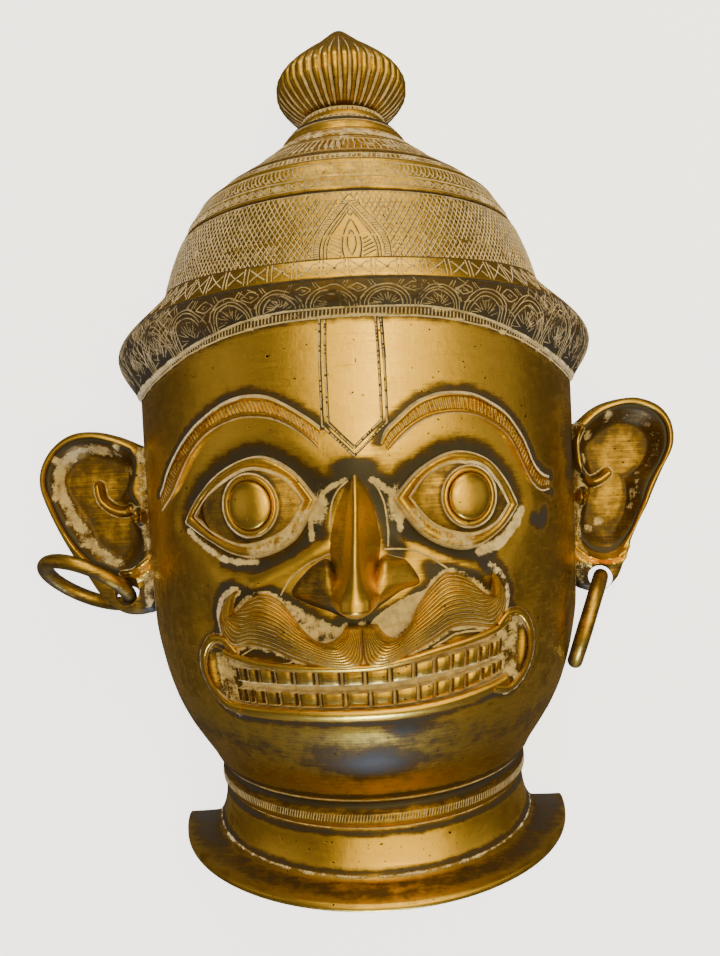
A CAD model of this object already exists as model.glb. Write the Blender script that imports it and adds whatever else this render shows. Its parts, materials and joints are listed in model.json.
# %% [markdown]
# # A cast brass spirit mask, lying on its back
# The mask is one lost-wax casting: the front half of a head in a domed, engraved cap with a ribbed
# knob, with a combed moustache, a wide grin, dished ears and a flanged neck. Two loose brass hoops
# hang in the lobes. The CAD part gives the size, place and wall. Here the surface is modelled finely,
# the engraving is cut, and the metal gets its polish, brown patina and pale polish residue.
#
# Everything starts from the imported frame, whose box is kept so that the looks never outgrow it.

# %% The frame
import json
import math

import bmesh
import bpy
import numpy as np
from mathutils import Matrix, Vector


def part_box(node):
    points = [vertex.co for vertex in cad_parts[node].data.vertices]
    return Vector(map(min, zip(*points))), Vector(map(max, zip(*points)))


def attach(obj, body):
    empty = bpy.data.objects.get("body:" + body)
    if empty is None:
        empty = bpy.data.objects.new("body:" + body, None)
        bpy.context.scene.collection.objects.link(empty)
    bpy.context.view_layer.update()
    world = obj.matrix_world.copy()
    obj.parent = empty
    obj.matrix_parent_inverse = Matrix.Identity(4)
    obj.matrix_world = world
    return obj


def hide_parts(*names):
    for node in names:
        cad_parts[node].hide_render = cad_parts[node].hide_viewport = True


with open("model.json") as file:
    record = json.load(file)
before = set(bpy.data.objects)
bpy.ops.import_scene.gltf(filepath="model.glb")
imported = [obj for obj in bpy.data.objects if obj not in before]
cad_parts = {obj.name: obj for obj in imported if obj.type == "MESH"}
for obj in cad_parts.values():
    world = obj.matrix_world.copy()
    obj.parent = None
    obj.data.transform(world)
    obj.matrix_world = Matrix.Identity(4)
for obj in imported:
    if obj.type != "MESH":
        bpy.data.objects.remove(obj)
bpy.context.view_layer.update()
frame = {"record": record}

# %% [markdown]
# ## Where the head stands
# Sizes are in millimetres, as the part was drawn: X from the head's round axis, Y up the face from
# the level of the pupils, Z from the table. The frame tells where that axis stands: half-way between
# the two back rims, with the tip of the knob at the top of the mask's box.

# %% Sizes of the head
MM = 0.001
AXIS_BEHIND = 6.0  # the round axis lies this far behind the cut back
WALL = 4.0
KNOB_TIP = 189.0
MOUNTS = {mount["name"]: mount for mount in frame["record"]["mounts"]}
AXIS_X = (MOUNTS["back_rim_right"]["pos_m"][0] + MOUNTS["back_rim_left"]["pos_m"][0]) / 2
LEVEL_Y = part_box("mask")[1].y - KNOB_TIP * MM
print("axis of the head at x", round(AXIS_X, 5), "pupil level at y", round(LEVEL_Y, 5))

FLANGE = {"bottom": -153.0, "top": -149.8, "radius": 86.0, "inner": 63.6}
BRIM = {"front": {"top": 74.0, "bottom": 57.4}, "side": {"top": 82.0, "bottom": 39.0}}
BRIM_SWELL = 12.3
BRIM_ROLL = [  # share of the way down the brim in front, height, distance from the axis
    (0, 74.0, 86.5), (0.02, 74.5, 92), (0.04, 74.2, 97), (0.06, 73.6, 98.3), (0.36, 67.3, 99.9),
    (0.5, 64.2, 99.9), (0.7, 61.2, 99.2), (0.85, 59.3, 98.2), (1, 57.4, 97.4),
]
FACE_PROFILE = [  # height, distance from the axis; the same in the cap's profile
    (-149.8, 72.2), (-147.5, 70.4), (-144, 69.1), (-139, 68.2), (-133, 67.6), (-132, 67.2),
    (-131.2, 68.5), (-129, 69.3), (-126.4, 69.2), (-125.2, 67.6), (-124, 66.9), (-122.6, 67.0),
    (-121.6, 68.6), (-119.4, 70.6), (-114, 73.6), (-106, 78.7), (-98, 83.4), (-88, 87.8), (-74, 91.8),
    (-56, 94.8), (-20, 96.1), (35, 96.8), (70, 96.8),
]
CAP_PROFILE = [
    (86, 84), (92, 81.6), (98, 78.4), (102.2, 75.6), (103.6, 74), (108, 70.9), (113.6, 65.4), (119, 57.4),
    (127, 42.8), (135.6, 29.4), (137.2, 26.8), (139.5, 25.6), (142.3, 23.4), (143.2, 20.2), (145, 18.4),
    (148.6, 17.6),
]
KNOB_AXIS = 34.5  # how far the knob's axis lies in front of the head's
KNOB_PROFILE = [  # height, distance from the knob's axis, share of the ribs' depth
    (149.6, 13.5, 0), (150.4, 17.0, 0.5), (151.8, 19.6, 0.9), (154.4, 22.8, 1), (157.6, 25.6, 1),
    (160.6, 27.2, 1), (163.4, 27.3, 1), (167, 25.7, 1), (171, 22.0, 1), (175, 17.4, 1), (180, 11.2, 0.8),
    (184.6, 6.2, 0.2), (187.4, 3.0, 0), (189, 0, 0),
]


def smooth(x, low, high):
    t = np.clip((np.asarray(x, float) - low) / (high - low), 0, 1)
    return t * t * (3 - 2 * t)


def mix(a, b, t):
    return a + (b - a) * t


def bump(x, middle, width):
    """A soft hill, 1 at its middle, that has gone at about twice its width."""
    return np.exp(-(((x - middle) / width) ** 2))


def read(points, at):
    """Reads pairs of place and value as one smooth line that doesn't overshoot."""
    place, value = np.array([p[:2] for p in points], float).T
    at = np.asarray(at, float)
    run = np.diff(place)
    step = np.diff(value) / run
    slope = np.zeros(len(place))
    slope[0], slope[-1] = step[0], step[-1]
    both = step[1:] * step[:-1]
    total = step[1:] + step[:-1]
    slope[1:-1] = np.where(both > 0, 2 * both / np.where(both > 0, total, 1), 0)
    k = np.clip(np.searchsorted(place, at) - 1, 0, len(run) - 1)
    t = np.clip((at - place[k]) / run[k], 0, 1)
    a, b = value[k], value[k + 1]
    lead = run[k] * (slope[k] * (t - 2 * t**2 + t**3) + slope[k + 1] * (t**3 - t**2))
    return a + (b - a) * (3 * t**2 - 2 * t**3) + lead


# %% [markdown]
# ## From angle and height to a point
# A head is nearly a turned shape, so a place on it is an angle round its axis and a height. The cap's
# rings lean forward towards the knob. Laid out flat, angle and height become plain millimetres, in
# which the distance to a carved line is easy to work out.

# %% Points of the head
def lean(y):
    return KNOB_AXIS * smooth(y, 82, 150)


def around(theta, y, radius, centre=0.0):
    a = np.radians(theta)
    return np.stack([radius * np.sin(a), y + 0 * a, centre + radius * np.cos(a) - AXIS_BEHIND], axis=-1)


def in_frame(points):
    return np.array([AXIS_X, LEVEL_Y, 0.0]) + np.asarray(points) * MM


CAMERA_HEIGHT = 332.0  # above the table


def unit(vectors):
    return vectors / np.maximum(np.linalg.norm(vectors, axis=-1, keepdims=True), 1e-9)


def on_face(theta, y, lift=0.0):
    """A place on the face. What stands proud leans towards the camera, from where it was measured."""
    theta, y, lift = np.broadcast_arrays(*(np.asarray(v, float) for v in (theta, y, lift)))
    base = around(theta, y, read(FACE_PROFILE, y) + np.minimum(lift, 0))
    out = around(theta, 0 * y, 1.0) - around(theta, 0 * y, 0.0)
    sight = unit(np.array([0, 0, CAMERA_HEIGHT]) - base)
    facing = np.maximum((out * sight).sum(axis=-1), 0.5)
    return base + sight * (np.maximum(lift, 0) / facing)[..., None]


FLAT_RADIUS = 95.0


def flat(theta, y):
    """The place on the unrolled face, in millimetres."""
    return np.stack([np.radians(theta) * FLAT_RADIUS, y + 0 * np.asarray(theta)], axis=-1)


def flat_angle(points):
    """The angle round the head's axis of places on the unrolled face."""
    return np.degrees(points[:, 0] / FLAT_RADIUS)


def curve(points, count, closed=False):
    """Even points on a smooth line through a short list of points."""
    p = np.array(points, float)
    n = len(p)
    last = n if closed else n - 1
    t = np.linspace(0, last, 40 * last + 1)
    k = np.minimum(t.astype(int), last - 1)
    f = (t - k)[:, None]
    pick = (lambda i: p[i % n]) if closed else (lambda i: p[np.clip(i, 0, n - 1)])
    a, b, c, d = pick(k - 1), pick(k), pick(k + 1), pick(k + 2)
    fine = 0.5 * (2 * b + (c - a) * f + (2 * a - 5 * b + 4 * c - d) * f**2 + (3 * b - a - 3 * c + d) * f**3)
    length = np.concatenate([[0], np.cumsum(np.linalg.norm(np.diff(fine, axis=0), axis=1))])
    even = np.linspace(0, length[-1], count)
    return np.stack([np.interp(even, length, fine[:, axis]) for axis in range(fine.shape[1])], axis=-1)


def away(points, line):
    """How far each flat point is from a line of straight pieces."""
    points = np.asarray(points, float)
    best = np.full(len(points), 1e9)
    for a, b in zip(line[:-1], line[1:]):
        run = b - a
        t = np.clip(((points - a) @ run) / max(run @ run, 1e-9), 0, 1)
        best = np.minimum(best, np.linalg.norm(points - a - t[:, None] * run, axis=1))
    return best


def inside(points, outline):
    """Which flat points lie inside a closed outline."""
    x, y = np.asarray(points, float).T
    hit = np.zeros(len(x), bool)
    for (x0, y0), (x1, y1) in zip(outline, np.roll(outline, -1, axis=0)):
        if y0 == y1:
            continue
        cross = (y0 > y) != (y1 > y)
        hit ^= cross & (x < x0 + (y - y0) * (x1 - x0) / (y1 - y0))
    return hit


# %% [markdown]
# ## The metal
# Old polished brass is three things at once: bright warm metal where cloth reaches, brown patina in
# the hollows, and pale dried polish in every groove. It could be painted by hand, but the forms know
# where each one belongs. So every mesh carries three numbers at its points, residue, patina and
# polish, and one shared node group turns them, with noise for blotches, brushed scratches and small
# casting pits, into colour, roughness, metal and relief.

# %% Node helpers
def feed(tree, socket, value):
    """Joins a socket to another node's output, or sets it to a plain value."""
    if isinstance(value, bpy.types.NodeSocket):
        tree.links.new(value, socket)
    else:
        socket.default_value = value


def maths(tree, operation, *values):
    node = tree.nodes.new("ShaderNodeMath")
    node.operation = operation
    for socket, value in zip(node.inputs, values):
        feed(tree, socket, value)
    return node.outputs[0]


def weighted(tree, start, *terms):
    """A start value and every term times its weight, all added up."""
    for value, weight in terms:
        start = maths(tree, "MULTIPLY_ADD", value, weight, start)
    return start


def varied(tree, value, *textures):
    """A value that each texture raises and lowers by up to half its amount."""
    for texture, amount in textures:
        value = maths(tree, "ADD", value, maths(tree, "MULTIPLY_ADD", texture, amount, -amount / 2))
    return value


def ramp(tree, value, low, high):
    node = tree.nodes.new("ShaderNodeMapRange")
    node.interpolation_type = "SMOOTHSTEP"
    for name, given in (("Value", value), ("From Min", low), ("From Max", high)):
        feed(tree, node.inputs[name], given)
    return node.outputs["Result"]


def blend_colour(tree, factor, a, b):
    node = tree.nodes.new("ShaderNodeMix")
    node.data_type = "RGBA"
    for index, given in ((0, factor), (6, a), (7, b)):  # the colour sockets of a Mix node are 6 and 7
        feed(tree, node.inputs[index], given)
    return node.outputs[2]


def noise(tree, vector, scale, detail, roughness):
    node = tree.nodes.new("ShaderNodeTexNoise")
    for name, given in (("Vector", vector), ("Scale", scale), ("Detail", detail), ("Roughness", roughness)):
        feed(tree, node.inputs[name], given)
    return node.outputs["Fac"]


def stretched(tree, vector, scale, turn):
    node = tree.nodes.new("ShaderNodeMapping")
    for name, given in (("Vector", vector), ("Scale", scale), ("Rotation", turn)):
        feed(tree, node.inputs[name], given)
    return node.outputs["Vector"]


# %% The shared group for aged brass
GOLD = (0.88, 0.555, 0.082, 1)
OCHRE = (0.50, 0.29, 0.045, 1)
BRONZE = (0.120, 0.070, 0.018, 1)
CHARCOAL = (0.045, 0.038, 0.032, 1)
PIT_BLACK = (0.02, 0.013, 0.008, 1)
CREAM = (0.78, 0.63, 0.385, 1)
GREY_CREAM = (0.50, 0.40, 0.25, 1)


def aged_brass_group():
    tree = bpy.data.node_groups.new("aged_brass", "ShaderNodeTree")
    for name in ("Residue", "Patina", "Polish"):
        tree.interface.new_socket(name=name, in_out="INPUT", socket_type="NodeSocketFloat")
    tree.interface.new_socket(name="Color", in_out="OUTPUT", socket_type="NodeSocketColor")
    for name in ("Roughness", "Metallic", "Height"):
        tree.interface.new_socket(name=name, in_out="OUTPUT", socket_type="NodeSocketFloat")
    given = tree.nodes.new("NodeGroupInput").outputs
    result = tree.nodes.new("NodeGroupOutput").inputs
    place = tree.nodes.new("ShaderNodeTexCoord").outputs["Object"]
    clouds = noise(tree, place, 42, 4, 0.6)
    patches = noise(tree, place, 115, 4, 0.6)
    mottle = noise(tree, place, 260, 5, 0.65)
    grain = noise(tree, place, 1500, 3, 0.7)
    brushed = noise(tree, stretched(tree, place, (40, 1500, 240), (0, 0, 0.5)), 1.0, 4, 0.75)
    crossed = noise(tree, stretched(tree, place, (1300, 60, 200), (0, 0, 0.35)), 1.0, 3, 0.7)
    pits = noise(tree, place, 620, 2, 0.4)
    worn = varied(tree, given["Polish"], (clouds, 0.9), (grain, 0.6), (mottle, 0.8))
    metal = blend_colour(tree, worn, OCHRE, GOLD)
    dirt = varied(tree, given["Patina"], (mottle, 0.8), (brushed, 0.8), (patches, 0.8))
    dark, deep = ramp(tree, dirt, 0.12, 0.90), ramp(tree, dirt, 0.72, 1.30)
    specks = ramp(tree, pits, 0.72, 0.76)
    for share, colour in ((dark, BRONZE), (deep, CHARCOAL), (specks, PIT_BLACK)):
        metal = blend_colour(tree, share, metal, colour)
    stains = ((patches, 0.5), (mottle, 0.8), (grain, 0.5), (brushed, 0.3), (crossed, 0.3))
    pale = ramp(tree, varied(tree, given["Residue"], *stains), 0.42, 0.62)
    chalk = blend_colour(tree, ramp(tree, mottle, 0.35, 0.62), GREY_CREAM, CREAM)
    tree.links.new(blend_colour(tree, pale, metal, chalk), result["Color"])
    rough = weighted(tree, 0.15, (brushed, 0.24), (grain, 0.14), (dark, 0.16), (pale, 0.42))
    tree.links.new(maths(tree, "MINIMUM", rough, 1.0), result["Roughness"])
    hold = weighted(tree, 1.0, (dark, -0.25), (deep, -0.45))
    tree.links.new(maths(tree, "MULTIPLY", hold, maths(tree, "SUBTRACT", 1.0, pale)), result["Metallic"])
    dents = ((brushed, 0.2), (mottle, 0.75), (crossed, 0.14), (specks, -0.8), (pale, 0.35))
    tree.links.new(weighted(tree, 0.0, *dents), result["Height"])
    return tree


AGED_BRASS = aged_brass_group()
print("shared group:", AGED_BRASS.name, "with", len(AGED_BRASS.nodes), "nodes")


RELIEF_DEPTH = 0.00024  # metres, of the finest dents and scratches
RELIEF_STRENGTH = 0.75


def attribute(tree, name):
    node = tree.nodes.new("ShaderNodeAttribute")
    node.attribute_name = name
    return node.outputs["Fac"]


def metal_material(name):
    material = bpy.data.materials.new(name)
    material.use_nodes = True
    tree = material.node_tree
    shader = tree.nodes["Principled BSDF"]
    group = tree.nodes.new("ShaderNodeGroup")
    group.node_tree = AGED_BRASS
    for socket in ("Residue", "Patina", "Polish"):
        tree.links.new(attribute(tree, socket.lower()), group.inputs[socket])
    for output, socket in (("Color", "Base Color"), ("Roughness", "Roughness"), ("Metallic", "Metallic")):
        tree.links.new(group.outputs[output], shader.inputs[socket])
    lifted = tree.nodes.new("ShaderNodeBump")
    lifted.inputs["Strength"].default_value = RELIEF_STRENGTH
    lifted.inputs["Distance"].default_value = RELIEF_DEPTH
    tree.links.new(group.outputs["Height"], lifted.inputs["Height"])
    tree.links.new(lifted.outputs["Normal"], shader.inputs["Normal"])
    return material


BRASS = metal_material("cast_brass_aged")

# %% [markdown]
# ## Fillings of the engraved lines
# Most engraved lines are filled with dried metal polish, dull and cream, with brown dirt where it has
# been rubbed out again, and some hold nothing but black dirt. They could be painted on the metal, but
# a line is finer than the mesh, so each filling gets its own plain, rough material.

# %% Residue in the engraving
DIRT = (0.05, 0.03, 0.015, 1)
FILLING_ROUGHNESS = 0.78


def residue_material(name, pale, dull, dirt, share):
    """Two shades of one filling, with dirt in the share of it that noise leaves over."""
    material = bpy.data.materials.new(name)
    material.use_nodes = True
    tree = material.node_tree
    shader = tree.nodes["Principled BSDF"]
    place = tree.nodes.new("ShaderNodeTexCoord").outputs["Object"]
    fine = noise(tree, place, 420, 4, 0.6)
    broad = noise(tree, place, 90, 3, 0.6)
    colour = blend_colour(tree, ramp(tree, fine, 0.35, 0.65), dull, pale)
    rubbed = ramp(tree, maths(tree, "MULTIPLY_ADD", fine, 0.6, broad), share, share + 0.12)
    tree.links.new(blend_colour(tree, rubbed, colour, dirt), shader.inputs["Base Color"])
    shader.inputs["Roughness"].default_value = FILLING_ROUGHNESS
    return material


LINE_CREAM = residue_material("polish_residue", CREAM, (0.47, 0.38, 0.26, 1), DIRT, 0.98)
LINE_DULL = residue_material("worn_residue", (0.52, 0.41, 0.25, 1), (0.27, 0.21, 0.125, 1), DIRT, 0.88)
LINE_DARK = residue_material(
    "dark_groove", (0.07, 0.05, 0.03, 1), (0.03, 0.02, 0.012, 1), (0.3, 0.24, 0.17, 1), 0.98,
)
print("materials:", [material.name for material in (BRASS, LINE_CREAM, LINE_DULL, LINE_DARK)])

# %% [markdown]
# ## One way to make a skin
# Every part of the casting is a closed skin: a bmesh grid whose points are moved to their place, with
# its edges welded where they meet. Along one side the grid wraps round, and its ends close to a point
# or run into each other, as on a turned or lofted piece. A helper does this, keeps the three numbers
# for the metal, and cuts a skin off flat at the back where the mask is open.

# %% Making a skin from a grid
TRIANGLES = {}
SKIN_SHARP, RIBBON_SHARP = 55, 40  # degrees between faces, past which an edge is drawn sharp


def finish_piece(name, bm, material, node, sharp):
    mesh = bpy.data.meshes.new(name)
    bm.to_mesh(mesh)
    bm.free()
    mesh.shade_smooth()
    mesh.set_sharp_from_angle(angle=math.radians(sharp))
    mesh.materials.append(material)
    piece = bpy.data.objects.new(name, mesh)
    bpy.context.collection.objects.link(piece)
    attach(piece, "root")
    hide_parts(node)
    TRIANGLES[name] = sum(len(face.vertices) - 2 for face in mesh.polygons)
    print(name, "triangles:", TRIANGLES[name])
    return piece


def skin(name, columns, rows, place, node="mask", cut=False):
    """A closed skin. place(i, j) gives points in mm and the residue, patina and polish there."""
    bm = bmesh.new()
    bmesh.ops.create_grid(bm, x_segments=columns, y_segments=rows, size=1)
    j, i = np.divmod(np.arange(len(bm.verts)), columns + 1)
    points, *marks = place(i, j)
    points = in_frame(points)
    layers = [bm.verts.layers.float.new(title) for title in ("residue", "patina", "polish")]
    values = [np.broadcast_to(np.asarray(mark, float), i.shape).tolist() for mark in marks]
    for vert, point, *numbers in zip(bm.verts, points.tolist(), *values):
        vert.co = point
        for layer, number in zip(layers, numbers):
            vert[layer] = number
    bmesh.ops.remove_doubles(bm, verts=bm.verts, dist=2e-6)
    if cut:
        everything = bm.verts[:] + bm.edges[:] + bm.faces[:]
        level = {"plane_co": (0, 0, 0), "plane_no": (0, 0, 1)}
        bmesh.ops.bisect_plane(bm, geom=everything, **level, clear_inner=True)
        bmesh.ops.holes_fill(bm, edges=[edge for edge in bm.edges if edge.is_boundary], sides=0)
    bmesh.ops.recalc_face_normals(bm, faces=bm.faces)
    return finish_piece(name, bm, BRASS, node, SKIN_SHARP)


# %% [markdown]
# ## The features of the face
# Each carved feature is given once, by a few points of angle and height. The shell reads them too, so
# that sockets, patina and polish residue fall in with them.

# %% Outlines of brows, eyes and mouth
BROWS = {
    "left": {
        "upper": [(-7.5, 17), (-10, 20.5), (-14, 25), (-18, 28.5), (-22, 29.7), (-26, 29.3), (-30, 27.5),
                  (-34, 24.5), (-38, 21), (-42, 16.5), (-46, 11), (-50, 5), (-52.5, 0), (-55, -3.5)],
        "lower": [(-8, 11), (-11, 16), (-15, 20.5), (-19, 23), (-24, 23.8), (-28, 22.8), (-32, 20.8),
                  (-36, 17.5), (-40, 12.5), (-44, 5.5), (-47, 0), (-50, -4), (-54.5, -8.5)],
    },
    "right": {
        "upper": [(4.5, 11), (6, 15.5), (9, 20), (12, 24), (16, 26.7), (20, 27.5), (25, 26.8), (30, 23.5),
                  (34, 19.5), (38, 12.5), (40, 7.5), (42, 2), (45, -2), (48.5, -3.5)],
        "lower": [(5.7, 9), (8, 13), (11, 17), (15, 20.3), (20, 21.5), (25, 20.7), (30, 17.5), (34, 13),
                  (37, 6.5), (39.5, 0), (41.5, -4), (44.5, -7), (48.5, -7)],
    },
}
EYES = {
    "left": {
        "centre": (-24, -7.7), "ring": 10.1, "pupil": 8.1,
        "outer": ([(-43.5, -13.5), (-38, -4), (-30, 4.7), (-21.5, 8.6), (-14.5, 3.4), (-9.5, -6.5)],
                  [(-9.5, -6.5), (-14.5, -19.5), (-22, -25.2), (-28.5, -24.3), (-35.5, -19.5),
                   (-43.5, -13.5)]),
        "inner": ([(-39.8, -11.2), (-34, -2.6), (-24, 5), (-16, 1.5), (-11.8, -6.8)],
                  [(-11.8, -6.8), (-16, -16.6), (-25, -21.6), (-33, -18), (-39.8, -11.2)]),
    },
    "right": {
        "centre": (23.3, -8.2), "ring": 9.8, "pupil": 7.9,
        "outer": ([(7, -7.5), (12.5, 1.5), (20, 7), (27, 4.6), (32, -2.5), (36, -12.4)],
                  [(36, -12.4), (30.5, -20.4), (24, -25.6), (18, -24.8), (12, -19), (7, -7.5)]),
        "inner": ([(9.8, -7.3), (14, 0.4), (21, 4), (29, -1.5), (33.4, -11.8)],
                  [(33.4, -11.8), (29.2, -18.5), (22.6, -21.3), (14.8, -17), (9.8, -7.3)]),
    },
}
MOUSTACHE = {
    "left": {
        "upper": [(-4.4, -49.6), (-5.2, -52), (-6.8, -54.4), (-9.6, -55.4), (-12.4, -52.5),
                  (-14.6, -48), (-17.8, -41), (-22, -38), (-26, -41), (-28.8, -46), (-29.4, -43.6),
                  (-28.6, -39.6), (-27, -37.6)],
        "lower": [(-1.0, -49.5), (-1.1, -57), (-1.3, -62.6), (-3.2, -65), (-7, -65), (-13, -63),
                  (-17, -60.8), (-21, -58.4), (-26, -57.2), (-30.8, -58.8), (-33.2, -55), (-34, -48),
                  (-31.6, -40.6), (-28, -36.6)],
    },
    "right": {
        "upper": [(2.2, -49.6), (3.0, -52), (4.6, -54.2), (7, -54.6), (9, -50), (10.6, -44), (13.4, -38),
                  (17, -33.6), (21.5, -35.6), (26.4, -43.4), (27.4, -40.6), (27, -36), (26, -33.6)],
        "lower": [(-1.2, -49.5), (-1.1, -57), (-0.9, -62.6), (1.0, -64.8), (4.6, -64), (9, -60.4),
                  (13.5, -57), (18, -53.4), (23, -53.4), (28.5, -55), (31.4, -50), (31.5, -43),
                  (29.4, -36.4), (27, -32.4)],
    },
}
MOUTH = {
    "upper_lip": [(-34, -60), (-32, -61.2), (-25, -63.5), (-15, -64.6), (0, -64.6), (8, -62.8), (15, -60.4),
                  (24, -57.8), (29, -55.8), (33, -52.6)],
    "upper_top": [(-34, -64), (-29, -65.4), (0, -65.6), (10, -64), (20, -61.8), (28.5, -60), (33, -57.5)],
    "upper_low": [(-34, -71), (-29, -71), (0, -71), (10, -69.6), (20, -68), (28.5, -66.4), (33, -65)],
    "lower_top": [(-34, -73.4), (0, -73.4), (10, -72.4), (20, -70.5), (28.5, -68.2), (33, -67)],
    "lower_low": [(-34, -79), (0, -79), (10, -78.4), (20, -76.5), (28.5, -73), (33, -71)],
    "lower_lip": [(-36, -80.6), (-33, -81.8), (-24, -82.2), (0, -82), (10, -81.6), (20, -80), (30, -77.2),
                  (34, -75.4)],
}
UPPER_GAPS = [-30.4, -28, -25, -21, -16.5, -11.5, -6, -1, 4.3, 9.5, 14, 17.8, 21.3, 24.5, 27.5, 30]
LOWER_GAPS = [
    -31, -29, -27.2, -24.3, -20.5, -16, -11.2, -5.5, 0, 5.3, 10.5, 14.3, 18, 21.5, 25.5, 28.5, 30.5,
]
print("teeth above:", len(UPPER_GAPS) - 1, "and below:", len(LOWER_GAPS) - 1)
CORNERS = {
    "left": [(-30.2, -60.6), (-33.4, -56), (-37.2, -56.4), (-40.4, -62), (-41.6, -69), (-40, -76),
             (-36.6, -81), (-32, -82.2)],
    "right": [(29.6, -55), (32.6, -51.2), (36.4, -52), (39.4, -58.5), (40.4, -67), (38.6, -75),
              (34.6, -79.4), (29.6, -78)],
}

# %% Wings, cheek ridges and where the dried polish and the dirt lie
CHEEK_RIDGES = {
    "left": [(-6.8, -22.2), (-12.1, -25.6), (-17.7, -30.3), (-23.0, -35.5)],
    "right": [(7.5, -21.0), (12.7, -24.9), (19.2, -29.9), (25.5, -35.4)],
}
WINGS = {
    "left": [(-7.3, -26.4), (-11.5, -29.9), (-15.6, -37.9), (-12.9, -41.6), (-8.0, -44.7), (-3.7, -47.2),
             (-4.4, -40.2), (-5.2, -33.5)],
    "right": [(3.9, -26.3), (6.6, -26.9), (9.0, -28.8), (11.4, -36.2), (7.4, -38.9), (3.6, -42.9),
              (-0.3, -46.5), (0.4, -37.4), (1.6, -31.6)],
}
CREAM_PATCHES = [  # how thick the dried polish lies, and the outline of the patch
    (1.05, [(0.5, -50.1), (6.9, -41.9), (13.3, -39.4), (12.7, -44.4), (8.3, -51.2), (3.5, -55.1)]),
    (0.62, [(-4.6, -51.8), (-11.6, -44.7), (-17.0, -40.2), (-13.9, -48.1), (-9.4, -54.8)]),
]
CREAM_STREAKS = [  # thickness, width in mm, line
    (0.85, 1.3, [(-3.1, -0.4), (-6.2, -2.9), (-8.8, -6.8), (-10.7, -13.4), (-10.4, -20.3)]),
    (0.90, 1.5, [(2.4, -0.9), (5.0, -3.8), (6.9, -8.0), (7.8, -13.2), (7.6, -18.3)]),
    (0.95, 1.5, [(6.4, -9.5), (9.4, -4.6), (13.2, 0.2)]),
    (1.00, 1.9, [(25, -27.6), (30, -25.4), (34.6, -20.6), (38, -14.5)]),
    (0.85, 1.4, [(-23, -27.6), (-30, -27.0), (-37, -22.6), (-43.5, -16.5)]),
]
CREAM_LINES = [  # thin lines of polish at the foot of the wings, the nose and the leaf beside the grin
    [(-3.5, -13.9), (-4.7, -22.3), (-5.8, -30.7)],
    [(4.2, -24.3), (9.6, -25.1), (14.6, -29.3), (18.4, -34.4)],
    [(-6.9, -25.0), (-11.6, -28.6), (-15.6, -33.5), (-17.6, -39.0)],
    [(-28.6, -60.9), (-22.7, -56.6), (-16, -60), (-16.4, -62.6), (-23, -63.4), (-28.6, -60.9)],
    [(13.5, -59.2), (19.5, -55.2), (26.5, -56.2), (20, -58.6), (13.5, -59.2)],
    [(-2.4, -0.6), (-4.6, -4.0), (-6.2, -9.5), (-6.6, -17.0)],
    [(1.6, -0.6), (3.6, -4.0), (4.8, -10.0), (5.2, -17.0), (5.0, -23.5)],
]
CHARCOAL_STREAKS = [  # how dark, width in mm, line
    (1.0, 4.2, [(-2.6, 1.0), (-6.4, -3.5), (-8.6, -9.5), (-9.0, -16.0), (-7.6, -22.0)]),
    (1.0, 4.2, [(1.6, 1.0), (4.8, -4.5), (7.0, -10.5), (8.0, -17.0), (7.2, -22.0)]),
    (1.1, 3.4, [(3.4, -6.0), (4.8, -14.0), (5.6, -21.0), (6.6, -25.5)]),
    (0.7, 2.2, [(-3.8, 4.2), (-0.8, 4.8), (1.6, 4.2)]),
    (0.75, 3.4, [(-14.5, -43), (-8.0, -49), (-3.0, -51)]),
    (0.75, 3.4, [(10.5, -41), (4.0, -47), (0.5, -50)]),
    (1.0, 2.2, [(9.5, -20.5), (15.0, -25.5), (21.5, -28.4), (28.0, -27.5)]),
    (1.0, 2.2, [(-11.5, -22.0), (-17.0, -27.8), (-24.0, -30.0), (-31.0, -28.0)]),
    (1.3, 3.2, [(41.5, -18.2), (44.6, -19.6), (45.4, -16.2)]),
    (0.9, 1.6, [(-19.6, -36.4), (-25.5, -38.0), (-30.5, -36.0)]),
    (1.1, 2.6, [(12.8, -31.0), (16.0, -34.2), (20.0, -34.6), (25.0, -33.6)]),
    (0.9, 2.2, [(44, -2), (47, -8), (49.5, -9)]),
]

# %% [markdown]
# ## How the face swells and sinks
# Under the carving the face isn't a plain turned shape: the sockets are dished, the cheeks and chin
# swell, and the mouth is cut in. This is one sum of soft hills, laid over angle and height.

# %% Relief and finish of the face
def eye_outline(eye):
    upper, lower = eye["outer"]
    points = np.concatenate([curve(upper, 40)[:-1], curve(lower, 40)[:-1]])
    return flat(*points.T)


def closed_flat(points, count=90):
    return flat(*curve(points, count, closed=True).T)


def beyond(points, outline):
    """How far a flat point is outside a closed outline; inside it is below zero."""
    loop = np.concatenate([outline, outline[:1]])
    return np.where(inside(points, outline), -1, 1) * away(points, loop)


def streak(points, line, width):
    return bump(away(points, flat(*curve(line, 30).T)), 0, width)


def in_mouth(theta, y):
    upper, lower = read(MOUTH["upper_lip"], theta), read(MOUTH["lower_lip"], theta)
    side = 1 - smooth(np.abs(theta + 0.6), 36.5, 38.5)
    return smooth(upper - y, -0.6, 0.8) * smooth(y - lower, -0.6, 0.8) * side


SOCKET_DEPTH, RIDGE_HEIGHT, MOUTH_DEPTH = 2.3, 1.7, 3.2
SWELLS = [  # mm proud, then middle and width across the flat face, then middle and width up it
    (1.6, -1, 9, 4, 9), (2.4, -51, 17, -36, 11), (-1.1, -61, 7, -50, 12), (2.4, 49, 17, -36, 11),
    (-1.1, 59, 7, -50, 12), (0.4, -1, 42, -88, 3.5), (0.9, -1, 26, -103, 9),
]


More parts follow.
